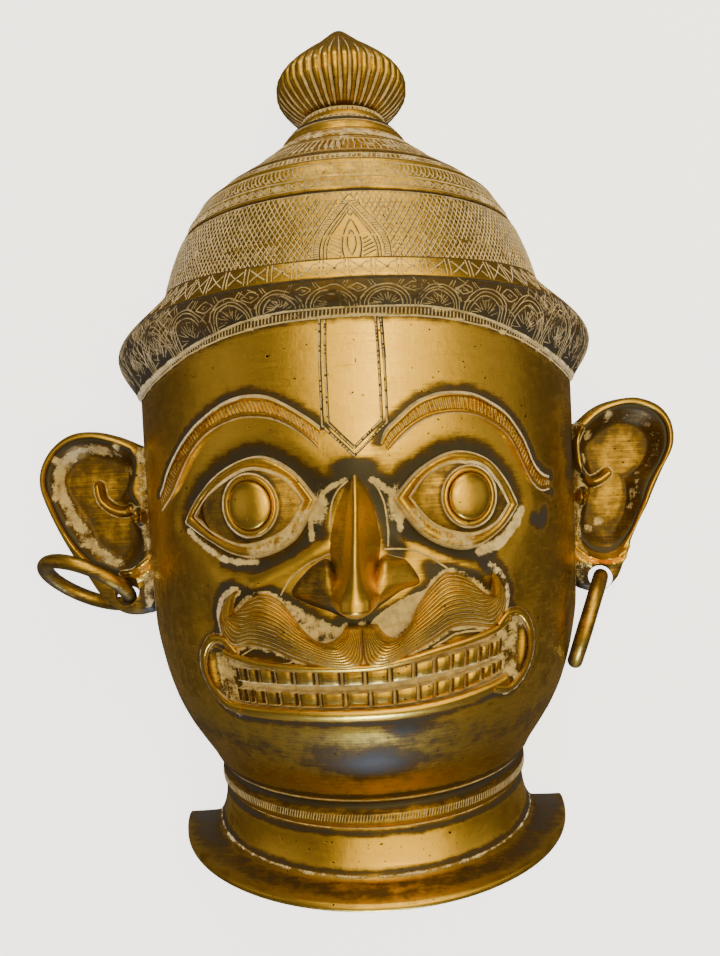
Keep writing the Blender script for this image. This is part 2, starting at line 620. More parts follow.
def face_relief(theta, y):
    points = flat(theta, y)
    x = points[:, 0]
    rise = np.zeros(len(x))
    for eye in EYES.values():
        rise -= SOCKET_DEPTH * (1 - smooth(beyond(points, eye_outline(eye)), -2, 10))
    for proud, across, wide, up, tall in SWELLS:
        rise += proud * bump(x, across, wide) * bump(y, up, tall)
    for ridge in CHEEK_RIDGES.values():
        rise += RIDGE_HEIGHT * streak(points, ridge, 3.0)
    return rise - MOUTH_DEPTH * in_mouth(theta, y)


# %% Marks near the carved forms
def patch(points, outline, soft=0.8):
    """1 inside a closed outline, 0 outside it, with a soft edge."""
    return smooth(-beyond(points, closed_flat(outline)), -soft, soft)


def at_least(marks, value):
    """Raises marks that are lower than a value, in place."""
    np.maximum(marks, value, out=marks)


def eye_and_brow_marks(points, theta, y, residue, patina):
    for band in BROWS.values():
        far = away(points, flat(*curve(band["upper"], 60).T))
        above = y > np.interp(theta, *np.array(sorted(band["upper"])).T) - 0.5
        patina += np.where(above, 1.15, 0.3) * (1 - smooth(far, 0.8, 5.6))
    for side, eye in zip((-1, 1), EYES.values()):
        far = beyond(points, eye_outline(eye))
        over = smooth(y, -12, -4)
        patina += mix(0.75, 1.15, over) * (1 - smooth(far, 2.0, mix(7.0, 9.0, over)))
        at_least(residue, 0.80 * bump(points[:, 0], side * 13.5 - 1, 5.0) * bump(y, -9, 8))


def grin_marks(points, residue, patina):
    for lobe in MOUSTACHE.values():
        outline = np.concatenate([curve(lobe["upper"], 60), curve(lobe["lower"], 60)[::-1]])
        far = away(points, flat(*outline.T))
        at_least(residue, 0.62 * (1 - smooth(far, 0.8, 2.0)))
        patina += 0.9 * (1 - smooth(far, 1.2, 6.0))
    for path in CORNERS.values():
        far = away(points, flat(*curve(path, 60).T))
        at_least(residue, 0.55 * (1 - smooth(far, 1.8, 3.0)))
        patina += 0.55 * (1 - smooth(far, 2, 5))


def streak_marks(points, residue, patina, polish):
    for amount, outline in CREAM_PATCHES:
        at_least(residue, amount * patch(points, outline))
        patina += 0.5 * patch(points, outline, 3.0)
    for amount, width, line in CHARCOAL_STREAKS:
        patina += amount * streak(points, line, width)
    for amount, width, line in CREAM_STREAKS:
        at_least(residue, amount * streak(points, line, width))
    for ridge in CHEEK_RIDGES.values():
        near = streak(points, ridge, 2.2)
        patina -= 0.9 * near
        residue -= 0.5 * near
        polish += 0.5 * near


# %% Marks by height and side, and all marks together
STRIP_LEVEL = [  # angle and height of the beaded strip's foot, under the brim
    (0, 54.7), (15, 54.0), (27, 51.8), (37, 48.6), (45, 45.1), (52, 42.1), (60, 39.2), (66, 37.8),
    (90, 37.4),
]
LEVEL_CREAM = [(0.75, -120.6, 0.7), (0.8, -131.9, 0.6), (0.95, -148.7, 0.55)]  # amount, height, width
LEVEL_PATINA = [
    (1.1, -123.5, 1.6), (0.45, -127.5, 2.2), (0.9, -134.0, 1.6), (0.8, -147.2, 1.3), (0.8, -118.4, 1.4),
    (0.42, -96, 11),
]
CLOUDS = [  # amount, then middle and width across the flat face, then middle and width up it
    (1.0, 14, 9, -88, 2.2), (0.85, -1, 20, -103.5, 6), (0.45, -1, 16, 3, 5), (0.85, 104.458, 13.265, 8, 18),
]


def mouth_marks(theta, y, residue, patina):
    mouth = smooth(in_mouth(theta, y), 0.2, 0.7)
    at_least(residue, mix(0.9, 0.55, smooth(np.abs(theta + 0.6), 29, 31)) * mouth)
    under_lip = bump(y, read(MOUTH["lower_lip"], theta) - 3.4, 1.0) * (np.abs(theta) < 34)
    patina += 0.7 * mouth + 0.8 * under_lip
    at_least(residue, 0.3 * under_lip)


def brim_and_neck_marks(theta, y, residue, patina, polish):
    under_brim = read(STRIP_LEVEL, np.abs(theta)) - y
    patina += 0.75 * (1 - smooth(under_brim, 0.0, 3.2))
    at_least(residue, 0.75 * bump(under_brim, -0.2, 0.6) + 0.9 * smooth(-under_brim, 2.5, 3.0))
    for amount, level, width in LEVEL_CREAM:
        at_least(residue, amount * bump(y, level, width))
    for amount, level, width in LEVEL_PATINA:
        patina += amount * bump(y, level, width)
    neck = smooth(-y, 134, 137) * (1 - smooth(-y, 145, 147))
    patina += 0.50 * smooth(-y, 149.4, 149.7) - 0.34 * neck * bump(theta, 4, 46)
    polish += 0.5 * neck


def ear_root_marks(theta, y, residue, patina):
    beside = bump(np.abs(theta), 75, 9) * smooth(y, -60, -50) * (1 - smooth(y, 20, 30))
    root = bump(np.abs(theta), 71.5, 2.6) * smooth(y, -56, -50) * (1 - smooth(y, 17, 21))
    patina += 0.5 * beside
    at_least(residue, 0.72 * root)


def face_marks(theta, y):
    """Residue, patina and polish on the plain face, from how near each carved form is."""
    points = flat(theta, y)
    residue = np.zeros(len(y))
    patina = 0.12 + 0.42 * smooth(np.abs(theta), 50, 84)
    patina += 0.14 * smooth(-y, 20, 60) * smooth(-y, -148, -120)
    polish = 0.95 - 0.55 * smooth(np.abs(theta + 2), 14, 55)
    for amount, across, wide, up, tall in CLOUDS:
        patina += amount * bump(points[:, 0], across, wide) * bump(y, up, tall)
    eye_and_brow_marks(points, theta, y, residue, patina)
    grin_marks(points, residue, patina)
    streak_marks(points, residue, patina, polish)
    mouth_marks(theta, y, residue, patina)
    brim_and_neck_marks(theta, y, residue, patina, polish)
    ear_root_marks(theta, y, residue, patina)
    return np.clip(residue, 0, 1.2), np.clip(patina, 0, 1.4), np.clip(polish, 0, 1)


# %% [markdown]
# ## Face, neck and flange
# The face, neck and flange are one sweep of the casting, 4 mm thick. Spin would turn one outline, but
# the face differs from angle to angle, so a grid is bent into a full ring, with most of its columns in
# front, then cut off flat at the back, as the caster leaves it open there.

# %% The shell of the face
FACE_TOP = 60.0
BACK_PATINA = 0.75  # inside the casting
FRONT_SHARE = 0.94  # of a ring's columns


def ring_angles(columns):
    """Angles of the columns of a full ring, most of them in front."""
    back = (1 - FRONT_SHARE) / 2
    return np.interp(np.linspace(0, 1, columns + 1), [0, back, 1 - back, 1], [-180, -90, 90, 180])


def flange_outline():
    low, high, wide = FLANGE["bottom"], FLANGE["top"], FLANGE["radius"]
    return [(low, FLANGE["inner"] + 0.6), (low, 74), (low, wide - 0.9), (low + 0.7, wide),
            (high - 0.8, wide), (high, wide - 0.8), (high, 80), (high + 0.1, 76), (high + 0.2, 73.4)]


def face_outline():
    heights = [np.linspace(*span) for span in (
        (-149.4, -134, 15), (-133.4, -118, 38), (-117, -60, 46), (-59, -50, 10), (-48.8, 20, 56),
        (22.5, 50, 12), (51.5, FACE_TOP, 6),
    )]
    return [(y, float(read(FACE_PROFILE, y))) for y in np.concatenate(heights)]


def hollow_outline():
    heights = (36, 0, -30, -56, -74, -90, -100, -110, -118, -124)
    wall = [(y, float(read(FACE_PROFILE, y)) - WALL) for y in heights]
    low = [(-132, 63.4), (-142, 63.5), (FLANGE["bottom"] + 0.8, FLANGE["inner"]), flange_outline()[0]]
    return [(FACE_TOP, 91.4), (50, 92.4)] + wall + low


def face_shell():
    columns = 426
    theta_list = ring_angles(columns)
    outlines = (flange_outline(), face_outline(), hollow_outline())
    stations = np.concatenate(outlines)
    part = np.repeat([0, 1, 2], [len(outline) for outline in outlines])

    def place(i, j):
        theta, (y, radius) = theta_list[i], stations[j].T
        shown = np.clip(theta, -90, 90)
        rise = np.where(part[j] == 1, face_relief(shown, y), 0)
        residue, patina, polish = face_marks(shown, y)
        patina = patina - 0.5 * smooth(radius, 84.2, 85.4) * (y < FLANGE["top"] + 0.5)
        patina = np.where(part[j] == 2, BACK_PATINA, patina)
        residue = np.where((part[j] == 2) | (y < FLANGE["top"] - 1), 0.0, residue)
        return around(theta, y, radius + rise), residue, patina, polish

    skin("face_shell", columns, len(stations) - 1, place, cut=True)


face_shell()

# %% [markdown]
# ## The cap and its rolled brim
# The brim droops and swells from the middle of the forehead towards the ears, and the cap rises from
# it in rings that lean forward to the knob. Level counts along the surface: -1 at the brim's lower
# lip, 0 at its top edge, 1 where the even rings start, and then one more for every 10 mm of height.

# %% The surface of the cap
CAP_START = 86.0
LEVEL_STEP = 10
RING_RELIEF = [  # height on the cap, width, mm proud
    (103.8, 0.5, 0.5), (102.6, 0.45, -0.6), (107.9, 0.35, 0.3), (114.4, 1.1, 0.65), (116.6, 0.4, -0.4),
    (119.9, 0.5, 0.35), (129.6, 0.5, 0.4), (130.7, 0.3, -0.3), (136.6, 0.5, 0.5), (138.9, 1.0, 0.6),
    (141.6, 0.5, -0.6), (146.5, 0.5, 0.6),
]


def brim_side(theta):
    return smooth(np.minimum(np.abs(theta), 90), 12, 70)


def brim_size(theta, key):
    return mix(BRIM["front"][key], BRIM["side"][key], brim_side(theta))


def cap_relief(y):
    """Raised and sunk rings round the cap, out from its plain outline."""
    return sum(proud * bump(y, middle, width) for middle, width, proud in RING_RELIEF)


def cap_surface(theta, level):
    theta, level = np.broadcast_arrays(np.asarray(theta, float), np.asarray(level, float))
    part = np.clip(-level, 0, 1)
    aside = brim_side(theta)
    swell = BRIM_SWELL * np.sin(np.pi * part**1.15).clip(0) ** 1.3
    side_y = mix(BRIM["side"]["top"], BRIM["side"]["bottom"], part)
    side_radius = mix(85, 98.2, smooth(part, 0, 1) * 0.4 + part * 0.6) + swell
    brim_y = mix(read([(p[0], p[1]) for p in BRIM_ROLL], part), side_y, aside)
    brim_radius = mix(read([(p[0], p[2]) for p in BRIM_ROLL], part), side_radius, aside)
    rise = np.clip(level, 0, 1)
    even_y = CAP_START + (level - 1) * LEVEL_STEP
    ring_y = np.where(level > 1, even_y, mix(brim_size(theta, "top"), CAP_START, rise))
    edge = mix(86.5 - 1.5 * aside, 84.0, rise)
    ring_radius = np.where(level > 1, read(CAP_PROFILE, ring_y) + cap_relief(ring_y), edge)
    on_brim = level < 0
    y = np.where(on_brim, brim_y, ring_y)
    return around(theta, y, np.where(on_brim, brim_radius, ring_radius), lean(y))


def level_of(y):
    return 1 + (y - CAP_START) / LEVEL_STEP


# %% Residue, patina and polish on the cap
LEAF_MIDDLE, LEAF_FOOT = 0.5, 77.0  # angle and height of the leaf engraved in front
RING_CREAM = [  # height on the cap, width, amount
    (105.8, 1.6, 0.10), (111, 2.2, 0.02), (116.8, 1.2, 0.12), (124.5, 4, 0.08), (133, 2.6, 0.18),
    (144.2, 1.0, 0.5), (147.9, 0.9, 0.4),
]
RING_DIRT = [(102.6, 0.5, 0.9), (119.0, 0.4, 0.5), (130.7, 0.4, 0.5), (141.6, 0.9, 1.1)]
RING_BRIGHT = [(103.8, 0.5), (114.4, 1.4), (109.6, 1.6), (121.0, 0.9), (138.9, 1.2), (146.4, 0.6)]


def brim_marks(theta, part):
    below = smooth(part, 0.35, 0.40)
    band = smooth(part, 0.04, 0.07) * (1 - below)
    residue = 0.42 * (1 - band - below) + 0.06 * below + 0.7 * smooth(part, 0.962, 0.985)
    patina = 0.02 * band + 0.98 * below + 0.15 * smooth(np.abs(theta), 38, 80)
    patina += 0.5 * bump(part, 0.385, 0.02) + 0.35 * smooth(part, 0.78, 0.95)
    return residue, patina, 1 - 0.6 * below


def ring_marks(theta, y):
    in_leaf = (np.abs(theta - LEAF_MIDDLE) < 9.3 * np.sqrt(np.clip((102 - y) / 25, 0, 1))) & (y > LEAF_FOOT)
    residue = 0.36 - 0.50 * in_leaf
    patina = 0.42 - 0.22 * smooth(102.5 - y, 0, 1) - 0.15 * in_leaf
    polish = 0.75 + 0.25 * in_leaf
    for middle, width, amount in RING_CREAM:
        residue += amount * bump(y, middle, width)
    for middle, width, amount in RING_DIRT:
        patina += amount * bump(y, middle, width)
        residue -= 0.5 * amount * bump(y, middle, width)
    for middle, width in RING_BRIGHT:
        residue -= 0.42 * bump(y, middle, width)
        polish += 0.6 * bump(y, middle, width)
    return residue, patina, polish


def cap_marks(theta, level):
    y = cap_surface(theta, level)[:, 1]
    pairs = zip(brim_marks(theta, np.clip(-level, 0, 1)), ring_marks(theta, y), (1, 1.3, 1))
    return [np.clip(np.where(level < 0, brim, ring), 0, most) for brim, ring, most in pairs]


# %% The shell of the cap
LIP_INNER, LIP_OUTER = 92.4, 96.2  # how far the flat under the brim's lip reaches, from the axis


def cap_shell():
    columns = 404
    theta_list = ring_angles(columns)
    levels = np.concatenate([
        np.linspace(-1, -0.06, 44), [-0.045, -0.03, -0.02, -0.01], np.linspace(0, 1, 9),
        np.linspace(1.06, level_of(104.5), 34), np.linspace(level_of(105), level_of(148.6), 78),
    ])
    inner = np.array([(148.6, 13.4), (140, 19), (136, 24.4), (126, 40.2), (114, 60.6), (103, 69.6),
                      (90, 78), (76, 83.5), (62, 89.5), (59, 92.4)])
    first, last = 2, 2 + len(levels)  # the rows of the outer surface

    def place(i, j):
        theta = theta_list[i]
        lip_y = brim_size(theta, "bottom")
        level = levels[np.clip(j, first, last - 1) - first]
        residue, patina, polish = cap_marks(theta, level)
        height, radius = inner[np.clip(j - last, 0, len(inner) - 1)].T
        within = around(theta, height, radius, lean(height))
        points = np.where((j < last)[:, None], cap_surface(theta, level), within)
        for row, drop, radius in ((0, 0, LIP_INNER), (1, 0.3, LIP_OUTER), (last + len(inner), 0, LIP_INNER)):
            points = np.where((j == row)[:, None], around(theta, lip_y - drop, radius), points)
        behind = j >= last
        return points, np.where(behind, 0, residue), np.where(behind, BACK_PATINA, patina), polish

    skin("cap_shell", columns, last + len(inner), place, cut=True)


cap_shell()

# %% [markdown]
# ## The knob
# The knob is an onion with 42 ribs that run into a plain pointed tip. Each rib is round on top with a
# sharp groove beside it, so its ring follows the side of a wave. It is hollow, open to the cap.

# %% The ribbed knob
RIBS = 42
RIB_DEPTH = 1.25
COLUMNS_PER_RIB = 8


def knob():
    columns = RIBS * COLUMNS_PER_RIB
    neck = [151.8, 151.2, 150.8, 150.4, 150.0, 149.6]
    heights = np.concatenate([[KNOB_TIP], np.linspace(187.4, 182, 12), np.linspace(181, 152.4, 56), neck])
    hollow = np.array([(148, 13), (155, 18), (162, 22), (170, 18), (179, 7), (181, 0)])
    widest = 27.3
    last = len(heights)

    def place(i, j):
        theta = i * 360 / columns
        wave = np.abs(np.sin(np.pi * i / COLUMNS_PER_RIB)) ** 0.75
        y = heights[np.clip(j, 0, last - 1)]
        share = read([(p[0], p[2]) for p in KNOB_PROFILE], y)
        radius = read(KNOB_PROFILE, y) - RIB_DEPTH * share * (1 - wave) + 0.1 * share
        radius = np.where(j == 0, 0, np.minimum(radius, widest))
        behind = j >= last
        hollow_y, hollow_radius = hollow[np.clip(j - last, 0, len(hollow) - 1)].T
        y, radius = np.where(behind, hollow_y, y), np.where(behind, hollow_radius, radius)
        groove = share * (y < 184)
        under = 1 - smooth(y, 152, 163)
        filled = groove * (1 - smooth(wave, 0.30, mix(0.58, 0.82, under)))
        residue = np.where(behind, 0, 0.80 * filled + 0.20 * under)
        patina = np.where(behind, 0.8, 0.85 * groove * bump(wave, 0.68, 0.14) + 0.10 + 0.34 * under)
        return around(theta, y, radius, KNOB_AXIS), residue, patina, 0.85 - 0.35 * under

    skin("knob", columns, last + len(hollow) - 1, place)

knob()

# %% [markdown]
# ## Eyes
# Each eye is carved as rings inside an almond: a domed pupil, a raised ring, the ball, and two rims
# that meet in sharp corners. One polar grid does all of it, with circles in the middle that give way
# to the almond's own outline, so the carving stays in one skin and closes behind the surface.

# %% Rows of an eye, from its middle outwards
ON_BALL = -9.0  # stands for the height of the ball, which place works out
EYE_SUNK = -3.7  # how deep the back of the skin lies
RIM_ROWS = np.linspace(-1, 1, 9)


def reach(outline, centre, angles):
    """Distance from a centre to an outline, in the direction of each angle."""
    rel = outline - centre
    turn = np.arctan2(rel[:, 1], rel[:, 0])
    order = np.argsort(turn)
    turn, length = turn[order], np.linalg.norm(rel, axis=1)[order]
    turn = np.concatenate([turn - 2 * np.pi, turn, turn + 2 * np.pi])
    at = np.mod(angles + np.pi, 2 * np.pi) - np.pi
    return np.interp(at, turn, np.tile(length, 3))


def eye_rows(pupil, ring, inner, outer):
    """Distance from the middle, height above the face and kind of each row of the polar grid."""
    rows = [(pupil * t, 5.4 + 2.6 * math.sqrt(1 - (0.94 * t) ** 2), "pupil") for t in np.linspace(0, 1, 22)]
    for edge, steps in (
        (pupil, ((0.25, 5.3), (0.5, 4.7), (0.75, 4.8), (1.0, 5.15), (1.3, 5.3))),
        (ring, ((-0.1, 5.3), (0.25, 5.1), (0.5, 4.5), (0.7, 3.9), (0.95, ON_BALL))),
    ):
        rows += [(edge + out, lift, "ring") for out, lift in steps]
    start = ring + 0.95
    inner_low = np.maximum(inner - 0.5, start + 0.7)
    inner_high = np.maximum(inner + 0.5, inner_low + 0.9)
    outer_low = inner_high + 0.15
    outer_high = np.maximum(outer + 0.7, outer_low + 1.3)
    rows += [(mix(start, inner_low - 0.15, t), ON_BALL, "ball") for t in np.linspace(0, 1, 19)[1:]]
    for near, far, low, high, foot_from in (
        (inner_low, inner_high, 0.3, 1.3, -2), (outer_low, outer_high, -0.4, 1.5, 0.7),
    ):
        for t in RIM_ROWS:
            lift = low + (high - low) * math.cos(0.5 * math.pi * t) ** 0.7
            rows.append((mix(near, far, 0.5 + 0.5 * t), lift, "foot" if t > foot_from else "outer"))
    seam = ((0.15, -1.6), (0.25, -3.6), (-0.4, EYE_SUNK))
    rows += [(outer_high + out, lift, "seam") for out, lift in seam]
    front = len(rows)
    rows += [(share * outer, EYE_SUNK, "behind") for share in np.linspace(0.85, 0, 9)]
    radii = np.array([np.broadcast_to(row[0], inner.shape) for row in rows])
    radii[:front] = np.maximum.accumulate(radii[:front], axis=0)
    return radii, np.array([row[1] for row in rows]), [row[2] for row in rows]


# %% The two eyes
EYE_FINISH = {  # residue, patina and polish of each kind of row
    "pupil": (0, -0.12, 1.0), "ring": (0, 0.05, 0.95), "ball": (0, 0.60, 0.6), "outer": (0, 0.36, 0.8),
    "foot": (0.85, 0.36, 0.8), "seam": (0.8, 0.36, 0.8), "behind": (0, 0.36, 0.8),
}


def side_sign(side):
    return -1 if side == "left" else 1


def eye(side):
    spec = EYES[side]
    centre = flat(*spec["centre"])
    columns = 264
    angles = np.linspace(0, 2 * np.pi, columns + 1)
    outlines = []
    for which in ("inner", "outer"):
        upper, lower = spec[which]
        dense = np.concatenate([curve(upper, 240)[:-1], curve(lower, 240)[:-1]])
        outlines.append(reach(flat(*dense.T), centre, angles))
    pupil, ring = spec["pupil"], spec["ring"]
    radii, lifts, kinds = eye_rows(pupil, ring, *outlines)
    finish = np.array([EYE_FINISH[kind] for kind in kinds])
    kinds = np.array(kinds)

    def place(i, j):
        radius, lift, kind = radii[j, i], lifts[j], kinds[j]
        across, up = radius * np.cos(angles[i]), radius * np.sin(angles[i])
        point = centre + np.stack([across, up], axis=-1)
        ball = -4.2 + 8.8 * np.sqrt(np.clip(1 - (across / 24) ** 2 - (up / 17.5) ** 2, 0.02, 1))
        on_rim = (kind == "foot") | (kind == "outer")
        lift = np.where(on_rim, np.maximum(lift, 0.6 * ball), lift)
        lift = np.where(lift == ON_BALL, ball, lift)
        residue, patina, polish = finish[j].T
        low_nose = smooth(-side_sign(side) * across - 2 - up * 0.5, 0, 6) * smooth(-up, -2, 4)
        residue = np.maximum(residue, 0.9 * bump(radius, ring + 1.0, 0.42) * (kind != "pupil"))
        residue = np.maximum(residue, 0.52 * low_nose * (kind == "outer"))
        patina = patina + 0.9 * bump(radius, pupil + 0.5, 0.3) + 0.3 * bump(radius, ring + 1.9, 0.6)
        return on_face(flat_angle(point), point[:, 1], lift), residue, patina, polish

    skin(f"eye_{side}", columns, len(kinds) - 1, place)


for side in EYES:
    eye(side)

# %% [markdown]
# ## Brows
# A brow is a long leaf with a rim on both edges and slanted cuts between them. It is lofted along its
# two edges, with its section given in true millimetres, so the rims keep their width as it narrows.

# %% The two brows
BROW_RIM = [  # from the foot of a rim inwards: mm across, mm proud
    (-1.5, -3), (-1.25, -0.6), (-1.0, 0.1), (-0.75, 0.35), (-0.5, 0.7), (-0.2, 1.5), (0.15, 1.95),
    (0.5, 1.95), (0.8, 1.5), (1.05, 0.9),
]
BROW_SUNK = -3.0
HATCH_PITCH = 1.6


def along(upper, lower, count):
    """Both edges of a band, point by point, on the flat face."""
    return flat(*curve(upper, count).T), flat(*curve(lower, count).T)


def brow(side):
    rows, channel, rim = 430, 14, len(BROW_RIM)
    under_from = 2 * rim + channel
    columns = under_from + 3
    out, proud = np.array(BROW_RIM).T
    top, low = along(BROWS[side]["upper"], BROWS[side]["lower"], rows + 1)
    width = np.linalg.norm(low - top, axis=1)
    run = np.concatenate([[0], np.cumsum(np.linalg.norm(np.diff((top + low) / 2, axis=0), axis=1))])
    ends = np.sin(np.pi * np.linspace(0.015, 0.985, rows + 1)) ** 0.45

    def place(i, j):
        near, far = np.clip(i, 0, rim - 1), np.clip(under_from - 1 - i, 0, rim - 1)
        in_near, under = i < rim, i >= under_from
        in_far = (i >= rim + channel) & ~under
        squeeze = np.clip(width[j] / 4.4, 0.25, 1)
        inner_edge = out[-1] * squeeze
        middle = mix(inner_edge, width[j] - inner_edge, np.clip((i - rim + 1) / (channel + 1), 0, 1))
        beneath = mix(width[j] + 1.5, -1.5, (i - under_from + 1) / 4)
        near_side, far_side = out[near] * squeeze, width[j] - out[far] * squeeze
        across = np.select([in_near, in_far, under], [near_side, far_side, beneath], middle)
        across = np.where(i == columns, out[0] * squeeze, across)
        cuts = np.sin(2 * np.pi * (run[j] + 0.45 * across) / HATCH_PITCH)
        floor = 0.75 + 0.42 * np.clip(cuts, -0.75, 0.75)
        lift = np.select([in_near, in_far, under], [proud[near], proud[far], BROW_SUNK], floor)
        lift = np.where(lift > -0.5, lift * mix(0.35, 1, ends[j]), lift)
        point = top[j] + (low[j] - top[j]) * (across / np.maximum(width[j], 0.1))[:, None]
        close = (j == 0) | (j == rows)
        point = np.where(close[:, None], ((top + low) / 2)[j], point)
        lift = np.where(close, BROW_SUNK, lift)
        off_edge = np.where(in_near, out[near], out[far])
        line = np.where(in_near, bump(off_edge, -0.5, 0.75), bump(off_edge, -0.8, 0.42)) * (in_near | in_far)
        in_cut = (~in_near & ~in_far & ~under) * smooth(-cuts, -0.2, 0.7)
        residue = np.maximum(0.95 * line, 0.60 * in_cut)
        inner_foot = (np.abs(off_edge - 1.0) < 0.3) & (in_near | in_far)
        patina = 0.16 + 0.62 * in_cut * (1 - line) + 0.3 * inner_foot
        return on_face(flat_angle(point), point[:, 1], lift), residue, patina, 0.8

    skin(f"brow_{side}", columns, rows, place)


for side in BROWS:
    brow(side)

# %% [markdown]
# ## Moustache
# The moustache is combed: thirteen round strands run from under the nose along each lobe and turn in
# with its curled tip. The lobe is lofted between its two edges, and the strands are a wave across it.

# %% The two lobes
STRANDS = 13
COLUMNS_PER_STRAND = 8
LOBE_HEIGHT, LOBE_SUNK = 6.2, -3.4
LOBE_SECTION = [  # share of the way across, share of the height
    (0, 0.12), (0.06, 0.42), (0.18, 0.75), (0.36, 1), (0.66, 0.97), (0.84, 0.75), (0.95, 0.42), (1, 0.12),
]


def moustache(side):
    spec = MOUSTACHE[side]
    rows, across_count = 190, COLUMNS_PER_STRAND * STRANDS
    columns, under_from = across_count + 8, across_count + 3
    top, low = along(spec["upper"], spec["lower"], rows + 1)
    v = np.linspace(0, 1, rows + 1)
    arched = 0.50 + 0.5 * np.sin(np.pi * np.clip(v * 1.05, 0, 1)) ** 0.7
    rise = LOBE_HEIGHT * arched * smooth(v, -0.05, 0.03) * smooth(1.01 - v, 0, 0.04)

    def place(i, j):
        t = np.clip((i - 2) / across_count, 0, 1)
        wave = np.abs(np.sin(np.pi * t * STRANDS)) ** 0.7
        thin = np.clip(np.linalg.norm(low[j] - top[j], axis=1) / 9, 0.3, 1)
        lift = rise[j] * read(LOBE_SECTION, t) + 0.75 * thin * (wave - 0.75)
        close = (j == 0) | (j == rows)
        lift = np.where((i < 2) | (i >= under_from) | close, LOBE_SUNK, lift)
        back = np.clip((i - under_from) / (columns - under_from), 0, 1)
        across = np.where(i >= under_from, 1 - back, t)
        point = top[j] + (low[j] - top[j]) * across[:, None]
        point = np.where(close[:, None], ((top + low) / 2)[j], point)
        groove = (1 - smooth(wave, 0.30, 0.70)) * (lift > -1)
        edge = (1 - smooth(np.minimum(t, 1 - t), 0.0, 0.035)) * (lift > -3)
        residue = np.maximum(0.74 * groove, 0.8 * edge)
        patina = 0.22 + 0.62 * bump(wave, 0.66, 0.16) + 0.35 * bump(v[j], 0.5, 0.12) * bump(t, 0.75, 0.2)
        return on_face(flat_angle(point), point[:, 1], lift), residue, patina, 0.72

    skin(f"moustache_{side}", columns, rows, place)


for side in MOUSTACHE:
    moustache(side)

# %% [markdown]
# ## Lips, corners and teeth
# The lips and the looped corners of the grin are round bars laid on the face, so a small tube along a
# smooth line makes them. The teeth are two curved bars with a cushion for every tooth and deep,
# residue-filled cuts between them.

# %% Bars on the face
def bar(name, path, wide, high, lift, patina, polish):
    rows, columns = 150, 20
    line = flat(*curve(path, rows + 1).T)
    ahead = np.gradient(line, axis=0)
    ahead /= np.linalg.norm(ahead, axis=1)[:, None]
    across = np.stack([-ahead[:, 1], ahead[:, 0]], axis=-1)

    def place(i, j):
        turn = 2 * np.pi * i / columns
        fat = np.where((j == 0) | (j == rows), 0, 1)
        point = line[j] + across[j] * (wide * fat * np.cos(turn))[:, None]
        rise = lift + high * fat * np.sin(turn)
        foot = smooth(-np.sin(turn), -0.45, -0.1)
        return on_face(flat_angle(point), point[:, 1], rise), 0.75 * foot, patina + 0.4 * foot, polish

    skin(name, columns, rows, place)


bar("lip_upper", MOUTH["upper_lip"], 1.4, 2.0, 0.2, patina=0.18, polish=0.9)
bar("lip_lower", MOUTH["lower_lip"], 2.4, 3.0, -0.5, patina=-0.10, polish=1.0)
for side, path in CORNERS.items():
    bar(f"mouth_corner_{side}", path, 1.8, 2.6, 0.2, patina=0.16, polish=0.85)

# %% Two rows of teeth
TOOTH_FLOOR, TOOTH_HEIGHT, TOOTH_SUNK = -2.2, 3.0, -3.6


def teeth(name, gaps, top, low):
    rows, section = 400, 14
    columns = section + 4
    angles = np.linspace(gaps[0] - 0.6, gaps[-1] + 0.6, rows + 1)
    gap_mm = np.array(gaps) * np.pi / 180 * FLAT_RADIUS
    arc = np.radians(angles) * FLAT_RADIUS
    nearest = np.abs(arc[:, None] - gap_mm[None, :]).min(axis=1)

    def place(i, j):
        theta, off_gap = angles[j], nearest[j]
        t = np.clip(i / section, 0, 1)
        high, bottom = read(MOUTH[top], theta), read(MOUTH[low], theta)
        cushion = smooth(off_gap, 0.25, 0.9) * (1 + 0.12 * smooth(off_gap, 0.9, 3))
        section_rise = np.sin(np.pi * np.clip(mix(0.02, 0.98, t), 0, 1)) ** 0.16
        lift = TOOTH_FLOOR + TOOTH_HEIGHT * cushion * section_rise
        under, close = i > section, (j == 0) | (j == rows)
        y = np.where(under, mix(bottom, high, (i - section) / (columns - section)), mix(high, bottom, t))
        y = np.where(close, (high + bottom) / 2, y)
        lift = np.where(under | (i == 0) | close, TOOTH_SUNK, lift)
        cut = 1 - smooth(off_gap, 0.3, 0.75)
        rim = 1 - smooth(section_rise, 0.75, 0.92)
        patina = 0.52 + 0.5 * bump(off_gap, 0.9, 0.35) - 0.25 * smooth(theta, 0, 14)
        return on_face(theta, y, lift), np.maximum(0.95 * cut, 0.8 * rim), patina, 0.9

    skin(name, columns, rows, place)


teeth("teeth_upper", UPPER_GAPS, "upper_top", "upper_low")
teeth("teeth_lower", LOWER_GAPS, "lower_top", "lower_low")

# %% [markdown]
# ## Nose
# The nose is a long straight ridge that stands 24 mm proud over a drooping tip, with a leaf-shaped
# wing on each side. The ridge is lofted from a few stations down the face, and each wing is a
# stretched ball bent round it.

# %% The ridge of the nose
NOSE = [  # height, half width at the foot, half width of the flat, height above the face
    (2, 1.5, 0.4, 0.8), (-5, 4.5, 0.8, 5.8), (-14, 7.6, 1.1, 11), (-22.5, 8.9, 1.4, 15.6),
    (-28, 8.4, 1.6, 18.8), (-32.6, 7.6, 2.0, 21), (-36, 8.2, 2.8, 22.5), (-39, 9.0, 3.6, 23.3),
    (-41, 8.4, 3.6, 23.4), (-44, 5.4, 2.2, 17), (-46.6, 1.2, 0.4, 6),
]
NOSE_SUNK, NOSE_END_SUNK = -3.2, -3.0


